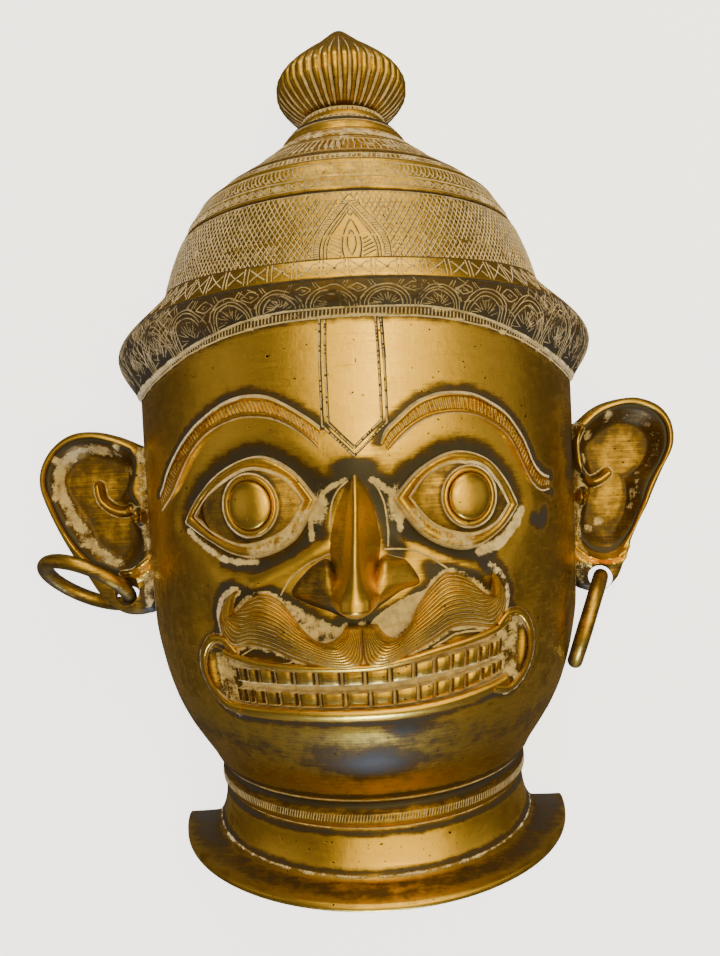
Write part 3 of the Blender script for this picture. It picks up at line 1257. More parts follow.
def nose():
    rows, section = 150, 60
    columns = section + 6
    y_list = np.linspace(NOSE[-1][0], NOSE[0][0], rows + 1)
    foot, top, rise = (read([(n[0], n[k]) for n in sorted(NOSE)], y_list) for k in (1, 2, 3))

    def place(i, j):
        y = y_list[j]
        u = np.clip(2 * i / section - 1, -1, 1)
        x = foot[j] * np.sign(u) * np.abs(u) ** 1.15
        slope = np.clip((np.abs(x) - top[j]) / np.maximum(foot[j] - top[j], 0.1), 0, 1)
        roof = 1 - 0.07 * (np.abs(x) / np.maximum(top[j], 0.1)).clip(0, 1) ** 2
        round_tip = smooth(-y, 28, 38)
        lift = rise[j] * roof * (1 - slope ** mix(1.0, 1.7, round_tip)) ** mix(1.0, 0.8, round_tip)
        under, close = i > section, (j == 0) | (j == rows)
        back = np.clip((i - section) / (columns - section), 0, 1)
        x = np.where(close, 0, np.where(under, foot[j] * (1 - 2 * back), x))
        lift = np.where(close, NOSE_END_SUNK, np.where(under | (np.abs(u) > 0.985), NOSE_SUNK, lift))
        middle = mix(-1.8, -3.4, smooth(-y, -2, 42))
        points = np.stack([middle + x, y, read(FACE_PROFILE, y) - AXIS_BEHIND + lift], axis=-1)
        side = smooth(slope, 0.12, 0.4)
        residue = 0.62 * smooth(slope, 0.86, 0.98) * smooth(-y, 5, 12)
        patina = 0.02 + mix(0.24, 0.46, smooth(-x, -1, 1)) * side * (1 - 0.5 * round_tip)
        patina += 0.5 * smooth(-y, 42.5, 45) + 0.5 * smooth(y, -6, 1)
        return points, residue, patina, 1 - 0.3 * side

    skin("nose", columns, rows, place)


nose()


# %% The wings of the nose
WING_SUNK = -3.4


def spread(centre, radius, angle):
    """Points at a distance and a direction from a centre."""
    return centre + np.stack([radius * np.cos(angle), radius * np.sin(angle)], axis=-1)


def nose_wing(side):
    sign = side_sign(side)
    columns, front, back = 120, 34, 6
    outline = closed_flat(WINGS[side], 240)[:-1]
    centre = outline.mean(axis=0)
    angles = np.linspace(0, 2 * np.pi, columns + 1)
    edge = reach(outline, centre, angles)

    def place(i, j):
        s = np.clip(j / front, 0, 1)
        b = np.clip((j - front) / back, 0, 1)
        point = spread(centre, edge[i] * s * (1 - b), angles[i])
        towards_nose = smooth(-sign * (point[:, 0] - centre[0]), -9, 5)
        dome = (1 - s**2.4) ** 0.6
        lift = np.where(b > 0, WING_SUNK, mix(-0.8, mix(4.2, 8.4, towards_nose), dome))
        rim = smooth(s, 0.93, 0.985) * (b == 0)
        low = smooth(centre[1] - point[:, 1], 2, 9)
        patina = mix(0.34, 0.66, 0.5 - 0.5 * sign) + 0.3 * smooth(s, 0.7, 0.95)
        patina += 0.6 * low * smooth(s, 0.45, 0.9)
        return on_face(flat_angle(point), point[:, 1], lift), 0.8 * rim, patina, 0.7

    skin(f"nose_wing_{side}", columns, front + back, place)


for side in WINGS:
    nose_wing(side)

# %% [markdown]
# ## Ears
# An ear is a dish with a rolled rim, a finger that reaches into the bowl, a small boss beside it and
# an arc over the pierced lobe. A polar grid spreads from the middle of the bowl to the outline and
# back behind; the finger, boss and arc are raised by how near each point is to their middle line.

# %% The two ears
EAR_LEVEL = 22.0
RIM_WIDTH = 3.1
EARS = {  # places in mm from the head's axis; cream is where blobs of dried polish lie
    "left": {
        "centre": (-112, -8), "boss": (-94.9, -12.0), "hole": (-102.4, -46.4),
        "outline": [(-90, 17), (-92.6, 18.3), (-103.1, 23.1), (-114.2, 25.8), (-123.5, 24.6),
                    (-130.9, 19.5), (-135.5, 12.7), (-137.2, 5.8), (-136, -2), (-129.7, -17.4),
                    (-119.8, -36.4), (-114.4, -45.9), (-108.9, -51.5), (-103.1, -54.4), (-95, -54.5),
                    (-90, -51), (-90, -30), (-90, -6)],
        "bowl": [(-96.1, 5.1), (-95.4, 10.7), (-96.8, 16.0), (-99.9, 19.0), (-106, 21), (-114, 22.4),
                 (-122.3, 21.4), (-128.6, 17.2), (-132.4, 11.3), (-133.8, 5.6), (-132.7, -1.2),
                 (-126.6, -15.9), (-117, -29.8), (-110.6, -33.9), (-105.1, -36), (-100.2, -34.4),
                 (-96.3, -30.8), (-92.2, -23.4), (-92.4, -12), (-97.5, -1.5)],
        "crus": [(-113.8, 1.7), (-112.9, -3.5), (-110.2, -6.8), (-106.6, -9.1), (-102.8, -9.7),
                 (-99.5, -8.7)],
        "arcs": [[(-104.1, -36.1), (-99.4, -35.4), (-94.5, -32.3), (-91.1, -30.1)],
                 [(-91.0, -34.2), (-96.4, -38.0), (-101.5, -39.4), (-107.0, -38.6)]],
        "cream": [(-129.1, 13.3), (-115.6, 17.8), (-100.1, 8.1), (-103.3, 18.2), (-130.0, -2.0),
                  (-124.6, -13.0), (-118.4, -23.0)],
        "wall_cream": 0.55, "clean_floor": 0.20,
    },
    "right": {
        "centre": (113, -4), "boss": (94.6, -12.2), "hole": (102.4, -47.4),
        "outline": [(90, 17), (94, 19.5), (100.7, 24.8), (107.8, 27.9), (118.6, 29.3), (128, 26.1),
                    (133.1, 20.6), (135.1, 13.6), (134.3, 6.6), (130.1, -1.2), (124.3, -13.2),
                    (117.6, -27.7), (113.7, -36.6), (111, -44.4), (108.4, -50), (103, -54), (95, -53.4),
                    (90, -48), (90, -22), (90, 0)],
        "bowl": [(97.4, 19.4), (103.9, 23.4), (112.9, 25.8), (121.0, 25.0), (127.4, 21.6),
                 (131.2, 15.7), (131.4, 8.1), (128.6, 0.9), (125.0, -7.6), (120.8, -16.7),
                 (116.6, -25.4), (112, -32.0), (106.1, -36.2), (98.5, -35.2), (93.7, -30.5),
                 (90.6, -24), (90.8, -10), (91.5, 4), (93.5, 14)],
        "crus": [(94, 16.3), (91.6, 10.1), (91.8, 3.1), (94.4, -2.7), (99.3, -6.3), (103.7, -5.7),
                 (107.7, -3.0)],
        "arcs": [[(89.7, -32.9), (94, -37.1), (100.8, -39.5), (107.8, -38.8), (114.4, -34.7)],
                 [(88.4, -35.3), (93.2, -40), (100.7, -41.9), (109, -41.1), (113.6, -37.8)]],
        "cream": [(99.0, 14.0), (97.0, 4.0), (103.0, -24.0), (98.0, -27.0), (108.0, 22.0)],
        "wall_cream": 0.26, "clean_floor": 0.30,
    },
}
HOLE_RADIUS = 5.1
HOOP_OUTER, HOOP_WIRE, TABLE_GAP = 45.0, 6.6, 0.3
HOOPS = {  # the way from a hoop's middle to its lobe, and the way its plane stands up
    "left": ((0.941, -0.338, 0.0), (0.179, 0.499, 0.848)),
    "right": ((0.365, 0.927, -0.087), (-0.283, 0.188, 0.94)),
}
HOOP_RING = (HOOP_OUTER - HOOP_WIRE) / 2


def hanging(side):
    """A hoop's middle and three directions: towards the lobe, up in its plane, and across it."""
    towards, upright = (np.array(v, float) for v in HOOPS[side])
    e1 = unit(towards)
    e2 = unit(upright - (upright @ e1) * e1)
    normal = np.cross(e1, e2)
    centre = np.array([*EARS[side]["hole"], 0.0]) - e1 * HOOP_RING
    centre[2] = HOOP_RING * math.sqrt(1 - normal[2] ** 2) + HOOP_WIRE / 2 + TABLE_GAP
    return centre, e1, e2, normal


# %% The finger, boss and arcs in the bowl
def ear_carving(point, spec):
    """How near each point is to the finger, the arcs and the boss, and how far they stand up there."""
    x, y = point.T
    boss = np.array(spec["boss"], float)
    near_crus = away(point, curve(spec["crus"], 40))
    near_arc = np.min([away(point, curve(arc, 30)) for arc in spec["arcs"]], axis=0)
    near_boss = away(point, np.stack([boss, boss + 0.01]))
    petals = 0.5 * np.cos(9 * np.arctan2(y - boss[1], x - boss[0]))
    finger = 4.4 * (1 - smooth(near_crus, 0.3, 2.6))
    ridges = 2.4 * bump(near_arc, 0, 0.9)
    knobby = (4.2 + petals) * (1 - smooth(near_boss, 2.4, 4.6)) - 2.0 * (1 - smooth(near_boss, 0.4, 1.3))
    return near_crus, near_arc, near_boss, np.maximum(finger, np.maximum(ridges, knobby))


def ear_marks(point, spec, inset, r, behind, near):
    """Residue, patina and polish; r runs over the rim, inset is the distance inwards from it."""
    x, y = point.T
    near_crus, near_arc, near_boss = near
    on_rim, in_bowl = (r > 0.08) & (r < 0.97), r == 0
    spots = [bump(np.hypot(x - spot[0], y - spot[1]), 0, 3.2) for spot in spec["cream"]]
    outside_half = smooth(np.abs(x) + 0.5 * np.abs(y + 8), 108, 122)
    wall_cream = 0.14 + spec["wall_cream"] * bump(inset, 4.5, 2.6) * in_bowl * outside_half
    residue = np.maximum(wall_cream, 0.66 * np.max(spots, axis=0)) * in_bowl
    root = 1 - smooth(np.abs(x), 93, 98)
    residue = np.maximum(residue, 0.52 * root * (r < 0.9))
    lines = 0.6 * bump(near_crus, 2.8, 0.6) + 0.6 * bump(near_boss, 4.4, 0.7)
    lines += 0.75 * bump(near_arc, 1.3, 0.45)
    raised = 1 - smooth(np.minimum(np.minimum(near_crus, near_arc), near_boss - 2.5), 0.8, 1.8)
    residue = np.maximum(residue * (1 - raised), lines)
    residue = np.where(behind | (on_rim & (root < 0.4)), 0, residue)
    floor = 0.84 - spec["clean_floor"] * smooth(inset, 9, 17) + 0.9 * bump(inset, 0.5, 0.8) * in_bowl
    patina = np.where(on_rim, 0.20, floor) - 0.7 * raised + 0.55 * root + 0.5 * smooth(-y, 38, 44)
    return residue, np.where(behind, 0.6, np.clip(patina, 0, 1.3)), np.where(on_rim, 0.9, 0.45)


# %% The two ears
EAR_BACK, EAR_FLOOR, EAR_BEHIND = -2.25, -4.2, (-3.4, -9.0)


def ear(side):
    spec = EARS[side]
    centre = np.array(spec["centre"], float)
    columns, front, rim_rows, back_rows = 272, 72, 20, 12
    angles = np.linspace(0, 2 * np.pi, columns + 1)
    outer = reach(curve(spec["outline"], 900, closed=True)[:-1], centre, angles) - 0.2
    bowl = np.minimum(reach(curve(spec["bowl"], 900, closed=True)[:-1], centre, angles), outer - RIM_WIDTH)
    lobe_turn = math.atan2(spec["hole"][1] - centre[1], spec["hole"][0] - centre[0])
    off_lobe = np.abs(np.arctan2(np.sin(angles - lobe_turn), np.cos(angles - lobe_turn)))
    crest = mix(2.25, 5.0, smooth(off_lobe, 0.35, 0.9))

    def place(i, j):
        s = np.clip(j / front, 0, 1)
        r = np.clip((j - front) / rim_rows, 0, 1)
        b = np.clip((j - front - rim_rows) / back_rows, 0, 1)
        point = spread(centre, mix(bowl[i] * s, outer[i], r) * (1 - b), angles[i])
        x, y = point.T
        inset = bowl[i] * (1 - s)
        height = EAR_FLOOR + (crest[i] + 2.6) * (1 - smooth(inset, 0.6, 9.0)) ** 1.3
        height += 0.14 * np.sin(0.55 * x + 0.2 * y) * np.sin(0.31 * y - 0.3 * x) * smooth(inset, 2, 6)
        height += (1.3 * np.sin(np.pi * r) ** 0.7 + 1.6 * smooth(r, 0, 0.2) - 2.2 * r) * (r > 0)
        height = mix(height, EAR_BACK, smooth(r, 0.82, 1.0) ** 3)
        behind = b > 0
        height = np.where(behind, mix(*EAR_BEHIND, smooth(b, 0, 0.5)), height)
        *near, carved = ear_carving(point, spec)
        height = np.where(~behind & (r < 0.9), height + carved, height)
        marks = ear_marks(point, spec, inset, r, behind, near)
        return np.stack([x, y, EAR_LEVEL + height], axis=-1), *marks

    return skin(f"ear_{side}", columns, front + rim_rows + back_rows, place)


def pierce(piece, side):
    """Drills the lobe with a round cutter, the way that the hoop passes through it."""
    centre, towards, upright, _ = hanging(side)
    turned = Vector(upright).to_track_quat("Z", "Y").to_matrix().to_4x4()
    turned.translation = in_frame(centre + towards * (HOOP_RING - 0.6))
    size = {"radius1": HOLE_RADIUS * MM, "radius2": HOLE_RADIUS * MM, "depth": 0.05}
    bm = bmesh.new()
    bmesh.ops.create_cone(bm, cap_ends=True, segments=32, **size, matrix=turned)
    mesh = bpy.data.meshes.new("drill")
    bm.to_mesh(mesh)
    bm.free()
    drill = bpy.data.objects.new("drill", mesh)
    bpy.context.collection.objects.link(drill)
    cut = piece.modifiers.new("lobe_hole", "BOOLEAN")
    cut.operation, cut.object, cut.solver = "DIFFERENCE", drill, "EXACT"
    bpy.context.view_layer.update()
    drilled = bpy.data.meshes.new_from_object(piece.evaluated_get(bpy.context.evaluated_depsgraph_get()))
    piece.modifiers.clear()
    piece.data = drilled
    bpy.data.objects.remove(drill)


for side in EARS:
    pierce(ear(side), side)

# %% [markdown]
# ## The hoops
# Each hoop is a plain ring of round wire that went through the lobe and was closed. It stands as the
# CAD part has it: the same centre line, leaning as gravity left it, clear of the table.

# %% Two brass hoops
def hoop(side):
    centre, towards, upright, normal = hanging(side)
    ring, wire = HOOP_RING - 0.15, 0.95 * HOOP_WIRE / 2  # a little thin, so that it stays in the CAD hoop
    columns, rows = 28, 150

    def place(i, j):
        a, b = 2 * np.pi * j / rows, 2 * np.pi * i / columns
        out = np.outer(np.cos(a), towards) + np.outer(np.sin(a), upright)
        dented = wire * (1 - 0.018 * (1 + np.sin(5 * a + 1.3)) * 0.5)
        across = out * np.cos(b)[:, None] + np.outer(np.sin(b), normal)
        points = centre + out * ring + across * dented[:, None]
        below = smooth(-across[:, 2], -0.3, 0.6)
        worn = bump(np.sin(b), 0.1, 0.5) * smooth(across[:, 2], 0, 0.6)
        return points, 0.0, 0.86 + 0.45 * below - 0.62 * worn, 0.6

    skin(f"hoop_{side}", columns, rows, place, node=f"hoop_earring_{side}")


for side in HOOPS:
    hoop(side)

# %% [markdown]
# ## Engraving
# A chaser cut the cap's patterns with a graver, and dried polish has filled the cuts since. Cutting
# thousands of grooves into the shells would need millions of faces. Each cut is instead a thin closed
# ribbon let into the surface, 0.03 to 0.13 mm proud, in the colour of its filling.

# %% Even spots along lines of a surface
def outward(surface, a, b):
    step = 0.02
    over = surface(a + step, b) - surface(a - step, b)
    up = surface(a, b + step) - surface(a, b - step)
    return unit(np.cross(over, up))


def kept_runs(path, keep):
    """The stretches of a path whose points are kept."""
    runs, start = [], None
    for k, wanted in enumerate([*keep, False]):
        if wanted and start is None:
            start = k
        elif not wanted and start is not None:
            if k - start > 1:
                runs.append(path[start:k])
            start = None
    return runs


CUT_BACK = 0.6  # mm above the table; lines stop there, where the skins are cut off


def spots_along(surface, path, step):
    """Evenly spaced spots on a path and the way that it runs there, for each stretch above the cut."""
    path = np.asarray(path, float)
    for run in kept_runs(path, surface(path[:, 0], path[:, 1])[:, 2] > CUT_BACK):
        points = surface(run[:, 0], run[:, 1])
        length = np.concatenate([[0], np.cumsum(np.linalg.norm(np.diff(points, axis=0), axis=1))])
        even = np.linspace(0, length[-1], max(2, int(round(length[-1] / step)) + 1))
        spots = np.stack([np.interp(even, length, run[:, axis]) for axis in (0, 1)], axis=-1)
        yield spots, np.gradient(surface(spots[:, 0], spots[:, 1]), axis=0)


# %% Closed ribbons through the spots
RIBBON_FOOT = -0.16  # mm under the surface
CORNERS_AROUND = 5  # the last corner of a section lies on the first


def ribbons(name, surface, paths, half_width, seed, proud=0.05, step=2.4, material=LINE_CREAM, shake=0.05):
    """Closed ribbons along paths; half_width, proud, step and shake in mm. Shake lets the hand wander."""
    rng = np.random.default_rng(seed)
    places, runs_ahead, closed, sizes = [], [], [], []
    for path in paths:
        for spots, ahead in spots_along(surface, path, step):
            count = len(spots)
            order = [0, *range(count), count - 1]
            places.append(spots[order])
            runs_ahead.append(ahead[order])
            closed.append([True] + [False] * count + [True])
            sizes.append(np.full(count + 2, half_width * rng.uniform(0.8, 1.2)))
    last_rows = np.cumsum([len(run) for run in places]) - 1
    spots, ahead = np.concatenate(places), unit(np.concatenate(runs_ahead))
    closed, size = np.concatenate(closed), np.concatenate(sizes)
    normal = outward(surface, spots[:, 0], spots[:, 1])
    side = unit(np.cross(normal, ahead))
    wander = np.convolve(rng.normal(0, shake, len(spots)), [0.25, 0.5, 0.25], mode="same")
    base = surface(spots[:, 0], spots[:, 1]) + side * wander[:, None]
    section = [(-1.0, RIBBON_FOOT), (-0.6, proud), (0.6, proud), (1.0, RIBBON_FOOT)]
    corners = []
    for across, up in section + section[:1]:
        shift = side * (across * size)[:, None] + normal * up
        corners.append(np.where(closed[:, None], base + normal * RIBBON_FOOT, base + shift))
    ribbon_mesh(name, in_frame(np.stack(corners, axis=1).reshape(-1, 3)), last_rows, material)


def ribbon_mesh(name, corners, last_rows, material):
    """One grid through all the corners, taken apart after the last row of each ribbon."""
    bm = bmesh.new()
    rows = len(corners) // CORNERS_AROUND
    bmesh.ops.create_grid(bm, x_segments=CORNERS_AROUND - 1, y_segments=rows - 1, size=1)
    for vert, point in zip(bm.verts, corners.tolist()):
        vert.co = point
    bm.verts.index_update()
    ends = set(last_rows[:-1].tolist())
    rows_of = {face: min(vert.index for vert in face.verts) // CORNERS_AROUND for face in bm.faces}
    bmesh.ops.delete(bm, geom=[face for face, row in rows_of.items() if row in ends], context="FACES")
    bmesh.ops.remove_doubles(bm, verts=bm.verts, dist=1e-6)
    bmesh.ops.recalc_face_normals(bm, faces=bm.faces)
    finish_piece(name, bm, material, "mask", RIBBON_SHARP)


def dirt_ribbons(name, surface, paths, half_width, seed, **settings):
    """Ribbons of black dirt, such as the shadows along pale ones."""
    ribbons(name, surface, paths, half_width, seed, material=LINE_DARK, **settings)


# %% Patterns in angle and level
def level_at(theta, y):
    top = brim_size(theta, "top")
    return np.where(y < CAP_START, (y - top) / (CAP_START - top), level_of(y))


def segment(a, b, count=6):
    return np.linspace(a, b, count)


def on_level(theta_y):
    path = np.asarray(theta_y, float)
    return np.stack([path[:, 0], level_at(path[:, 0], path[:, 1])], axis=-1)


def beside(lines, across, up):
    """The same lines, moved a little to the side, for the dirt that lies along them."""
    return [np.asarray(line) + np.array([across, up]) for line in lines]


def round_line(level, start=-100.0, end=100.0, count=120):
    theta = np.linspace(start, end, count)
    return np.stack([theta, np.full(count, level)], axis=-1)


def crossed_cells(pitch, low, high, start, end, inset):
    """Square cells with a cross in each and a double line between them."""
    lines = []
    foot, head = mix(low, high, 0.14), mix(high, low, 0.14)
    for left in np.arange(start, end, pitch):
        a, b = left + inset * pitch, left + (1 - inset) * pitch
        c, d = left + 2 * inset * pitch, left + (1 - 2 * inset) * pitch
        upright = (((a, low), (a, high)), ((b, low), (b, high)))
        cross = (((c, foot), (d, head)), ((c, head), (d, foot)))
        lines += [segment(one, other, 4) for one, other in upright + cross]
    return lines


# %% The lattice
LEAF_TALL = 24.2
LEAF_HALF = [(77.0, 9.2), (81, 9.3), (85, 8.8), (89, 7.4), (93, 5.2), (96.5, 3.0), (99.5, 1.2), (101.2, 0.0)]
LATTICE_TOP = 101.7
LATTICE_PITCH = 1.45  # degrees between the lines of one direction
LATTICE_LEAN = 0.48  # degrees sideways for each millimetre up


def leaf_stretch(share):
    """How tall the leaf at a share of its width stands, against the whole leaf."""
    return 0.35 + 0.65 * share


def leaf_half(y, share=1.0):
    stretch = leaf_stretch(share)
    half = share * read(LEAF_HALF, LEAF_FOOT + (y - LEAF_FOOT) / stretch)
    return np.where(y > LEAF_FOOT + LEAF_TALL * stretch, 0, half)


def lattice():
    lines = []
    for direction in (-1, 1):
        for start in np.arange(-106, 106, LATTICE_PITCH):
            y = np.linspace(float(brim_size(start, "top")) + 0.2, LATTICE_TOP, 34)
            theta = start + direction * LATTICE_LEAN * (y - y[0])
            path = np.stack([theta, level_at(theta, y)], axis=-1)
            outside = np.abs(theta - LEAF_MIDDLE) > leaf_half(y) + 0.2
            lines += kept_runs(path, outside & (path[:, 1] > 0.01))
    return lines


def lattice_specks():
    """Short black slips where the dirt in a crossing was never cleaned out."""
    rng = np.random.default_rng(21)
    specks = []
    for theta, y in zip(rng.uniform(-70, 70, 150), rng.uniform(76, 101, 150)):
        if abs(theta - LEAF_MIDDLE) > leaf_half(y) + 1 and y > brim_size(theta, "top") + 1:
            turn = rng.choice((-1, 1)) * LATTICE_LEAN
            specks.append(on_level([(theta, y), (theta + turn * 0.9, y + 0.9)]))
    return specks


lattice_lines = lattice()
dark_lattice = beside(lattice_lines, 0.22, -0.01)
ribbons("cap_lattice", cap_surface, lattice_lines, 0.30, seed=2)
dirt_ribbons("cap_lattice_shadow", cap_surface, dark_lattice, 0.21, proud=0.03, step=3.6, seed=23)
dirt_ribbons("cap_lattice_specks", cap_surface, lattice_specks(), 0.22, proud=0.08, step=0.9, seed=22)


# %% The leaf in the lattice
def both_sides(half, y):
    """The two lines that stand at a half width from the leaf's middle."""
    return [on_level(np.stack([LEAF_MIDDLE + side * half, y], axis=-1)) for side in (-1, 1)]


def arch(share):
    """One side-to-side outline of the leaf, at a share of its size."""
    top = LEAF_FOOT + LEAF_TALL * leaf_stretch(share)
    y = np.linspace(77.6, top, 22)
    half = read(LEAF_HALF, LEAF_FOOT + (y - LEAF_FOOT) / leaf_stretch(share)) * share
    left = np.stack([LEAF_MIDDLE - half, y], axis=-1)
    right = np.stack([LEAF_MIDDLE + half, y], axis=-1)[::-1]
    return on_level(np.concatenate([left, right[1:]]))


def leaf():
    lines = [arch(share) for share in (1.0, 0.84, 0.74, 0.66)]
    for y in np.arange(78, 99, 0.9):
        outer, inner = float(leaf_half(y)), float(leaf_half(y, 0.84))
        if outer - inner > 0.4:
            lines += both_sides(np.array([inner, outer]), np.array([y, y]))
    for half, low, high in ((2.3, 77.6, 92), (1.1, 78.6, 88), (0.9, 93.2, 97.4)):
        bow = half * np.sin(np.pi * np.linspace(0.28 if low < 78.5 else 0, 1, 12)) ** 0.8
        lines += both_sides(bow, np.linspace(low, high, 12))
    for y in np.arange(78.2, 93, 1.55):
        inner = 2.7 if y < 86 else 2.7 - 0.33 * (y - 86)
        outer = float(leaf_half(min(y + 3.6, 99), 0.66)) - 0.15
        if outer > inner + 0.6:
            lines += both_sides(np.array([inner, outer]), np.array([y, y + 0.75 * (outer - inner)]))
    return lines


leaf_lines = leaf()
dark_leaf = beside(leaf_lines, 0.30, -0.012)
ribbons("cap_leaf", cap_surface, leaf_lines, 0.33, step=1.6, seed=3)
dirt_ribbons("cap_leaf_shadow", cap_surface, dark_leaf, 0.30, proud=0.03, step=1.6, seed=32)

# %% Bands round the brim
CELL = 5.1
SCALLOP, SCALLOP_START = 10.7, -3.9
SCALLOP_FOOT = -0.95  # level of the middle of the scallops' arcs
SCALLOP_SIZE = np.array([5.0, 0.46])  # half width in degrees, height in levels
DIAMOND_LEVEL = -0.56


def on_scallop(middle, share, angle):
    """A point, or points, on an arc of the scallop, at a share of its size."""
    way = np.stack([np.cos(angle), np.sin(angle)], axis=-1)
    return np.array([middle, SCALLOP_FOOT]) + SCALLOP_SIZE * share * way


def between_scallops(side):
    """The diamond between two scallops, and the ring and short strokes round it."""
    wide, tall = 2.1, 0.10
    corners = ((-wide, 0), (0, tall), (wide, 0), (0, -tall), (-wide, 0))
    diamond = [(side + across, DIAMOND_LEVEL + up) for across, up in corners]
    a = np.linspace(0, 2 * np.pi, 9)
    strokes = [np.stack([side + 0.6 * np.cos(a), DIAMOND_LEVEL + 0.03 * np.sin(a)], axis=-1)]
    for shift in (-3.4, -2.6, 2.6, 3.4):
        strokes.append(segment((side + shift, -0.52), (side + shift * 0.72, -0.43), 2))
        strokes.append(segment((side + shift * 0.35, -0.72), (side + shift * 0.12, -0.80), 2))
    return diamond, strokes


def scallops():
    pale, thin, black = [], [], []
    for k in range(-9, 10):
        middle = SCALLOP_START + k * SCALLOP
        if abs(middle) > 94:
            continue
        for share in (1.0, 0.86, 0.72) if abs(middle) < 52 else (1.0,):
            pale.append(on_scallop(middle, share, np.linspace(-0.12, np.pi + 0.12, 15)))
        a = np.linspace(0.1, np.pi - 0.1, 12)
        black.append(np.stack([middle + 3.1 * np.cos(a), SCALLOP_FOOT + 0.285 * np.sin(a)], axis=-1))
        for n, a in enumerate(np.linspace(0.2, np.pi - 0.2, 11)):
            inner, outer = (0.20, 0.52) if n % 2 else (0.30, 0.66)
            thin.append(segment(on_scallop(middle, inner, a), on_scallop(middle, outer, a + 0.16), 3))
        diamond, strokes = between_scallops(middle + SCALLOP / 2)
        pale.append(diamond)
        thin += strokes
    return pale, thin, black


def feathers():
    """Strokes that the chaser scattered between the scallops, thickest at the sides."""
    rng = np.random.default_rng(31)
    strokes = []
    for n in range(760):
        theta = math.copysign(rng.uniform(40, 94) if n % 4 else rng.uniform(10, 94), rng.uniform(-1, 1))
        level = rng.uniform(-0.92, -0.44)
        turn = rng.choice((-1, 1)) * rng.uniform(0.6, 2.2)
        strokes.append(segment((theta, level), (theta + turn, level + rng.uniform(0.05, 0.11)), 3))
    return strokes


pale_scallops, thin_scallops, black_scallops = scallops()
thin_strokes = thin_scallops + feathers()
crosses = crossed_cells(CELL, -0.35, -0.075, -97.5, 97.5, 0.09)
dark_crosses = beside(crosses, 0.28, -0.008)
cell_middles = np.arange(-97.5, 97, CELL) + CELL / 2
cross_dots = [segment((theta, -0.215), (theta + 0.35, -0.235), 2) for theta in cell_middles[::2]]
zigzag = [(theta, -0.385 - 0.022 * (k % 2)) for k, theta in enumerate(np.arange(-98, 98, 1.3))]
ribbons("brim_crosses", cap_surface, crosses, 0.30, step=2, seed=4, shake=0.12)
dirt_ribbons("brim_cross_shadow", cap_surface, dark_crosses, 0.20, proud=0.03, step=3, seed=42)
dirt_ribbons("brim_cross_dots", cap_surface, cross_dots, 0.34, proud=0.08, step=1, seed=41)
ribbons("brim_scallops", cap_surface, pale_scallops, 0.27, step=1.8, material=LINE_DULL, seed=5, shake=0.3)
ribbons("brim_feathers", cap_surface, thin_strokes, 0.19, step=1.5, material=LINE_DULL, seed=6, shake=0.15)
dirt_ribbons("brim_black", cap_surface, black_scallops, 0.30, step=1.5, seed=61, shake=0.15)
dirt_ribbons("brim_border", cap_surface, [round_line(-0.05), zigzag], 0.28, seed=7, shake=0.1)

# %% Rings of the cap
def slanted(low, high, pitch, shift, bow=0.0, start=-178.0):
    """Strokes from one level to another, leaning away from the middle on both sides."""
    lines = []
    t = np.linspace(0, 1, 5)
    for theta in np.arange(start, 178.0, pitch):
        lean_by = math.copysign(1, theta) * (shift * t + bow * np.sin(np.pi * t))
        lines.append(np.stack([theta + lean_by, mix(level_of(low), level_of(high), t)], axis=-1))
    return lines


def full_rings(heights):
    return [round_line(level_of(y), -179, 179, 180) for y in heights]


RING_HEIGHTS = (
    102.0, 104.3, 107.7, 113.1, 115.4, 117.9, 120.6, 128.8, 130.3, 133.1, 135.7, 140.4, 143.9, 145.4,
)


def cap_rings():
    lines = crossed_cells(3.0, level_of(104.7), level_of(107.2), -170, 170, 0.1)
    lines += slanted(108.6, 112.8, 1.45, 2.2, 0.9)
    lines += slanted(108.6, 110.8, 2.9, -1.6, 0.3)
    lines += slanted(115.6, 117.7, 1.7, 0.5)
    lines += slanted(121.0, 128.4, 2.8, 0.8, 0.6)
    lines += slanted(124.4, 128.4, 2.8, -0.8, start=-176.6)
    lines += slanted(137.9, 140.0, 4.4, 0.8)
    lines += slanted(146.9, 148.3, 6.5, 0.5)
    theta = np.arange(-180, 181, 4.4)
    for low, high in ((130.6, 132.9), (133.3, 135.5)):
        y = np.where(np.arange(len(theta)) % 2, high, low)
        lines.append(np.stack([theta, level_of(y)], axis=-1))
    return lines + full_rings(RING_HEIGHTS)


def ring_shadows():
    lines = full_rings((102.7, 119.0, 141.6, 144.9)) + slanted(122.0, 127.6, 2.8, 0.6, start=-177.2)
    return lines + slanted(147.2, 148.2, 6.5, 0.4, start=-175.0)


ribbons("cap_rings", cap_surface, cap_rings(), 0.27, step=2.0, seed=8)
dirt_ribbons("cap_ring_shadow", cap_surface, ring_shadows(), 0.26, seed=9)

# %% Lines of the face and neck
def face_surface(theta, y):
    theta, y = np.broadcast_arrays(np.asarray(theta, float), np.asarray(y, float))
    radius = read(FACE_PROFILE, y.ravel()) + face_relief(theta.ravel(), y.ravel())
    return around(theta.ravel(), y.ravel(), radius).reshape(*theta.shape, 3)


MARK_MIDDLE = -0.6
MARK = [  # the outer and the inner line of the forehead mark
    [(-6.0, 54.6), (-6.4, 40), (-6.5, 18.2), (-0.4, 7.6), (6.5, 18.4), (6.5, 40), (6.2, 54.6)],
    [(-4.9, 54.6), (-5.3, 40), (-5.3, 19.0), (-0.4, 10.2), (5.4, 19.2), (5.4, 40), (5.1, 54.6)],
]


def mark_lines(shift):
    lines = []
    for outline in MARK:
        for a, b in zip(outline[:-1], outline[1:]):
            lines.append(segment((a[0] + MARK_MIDDLE + shift, a[1]), (b[0] + MARK_MIDDLE + shift, b[1]), 8))
    return lines


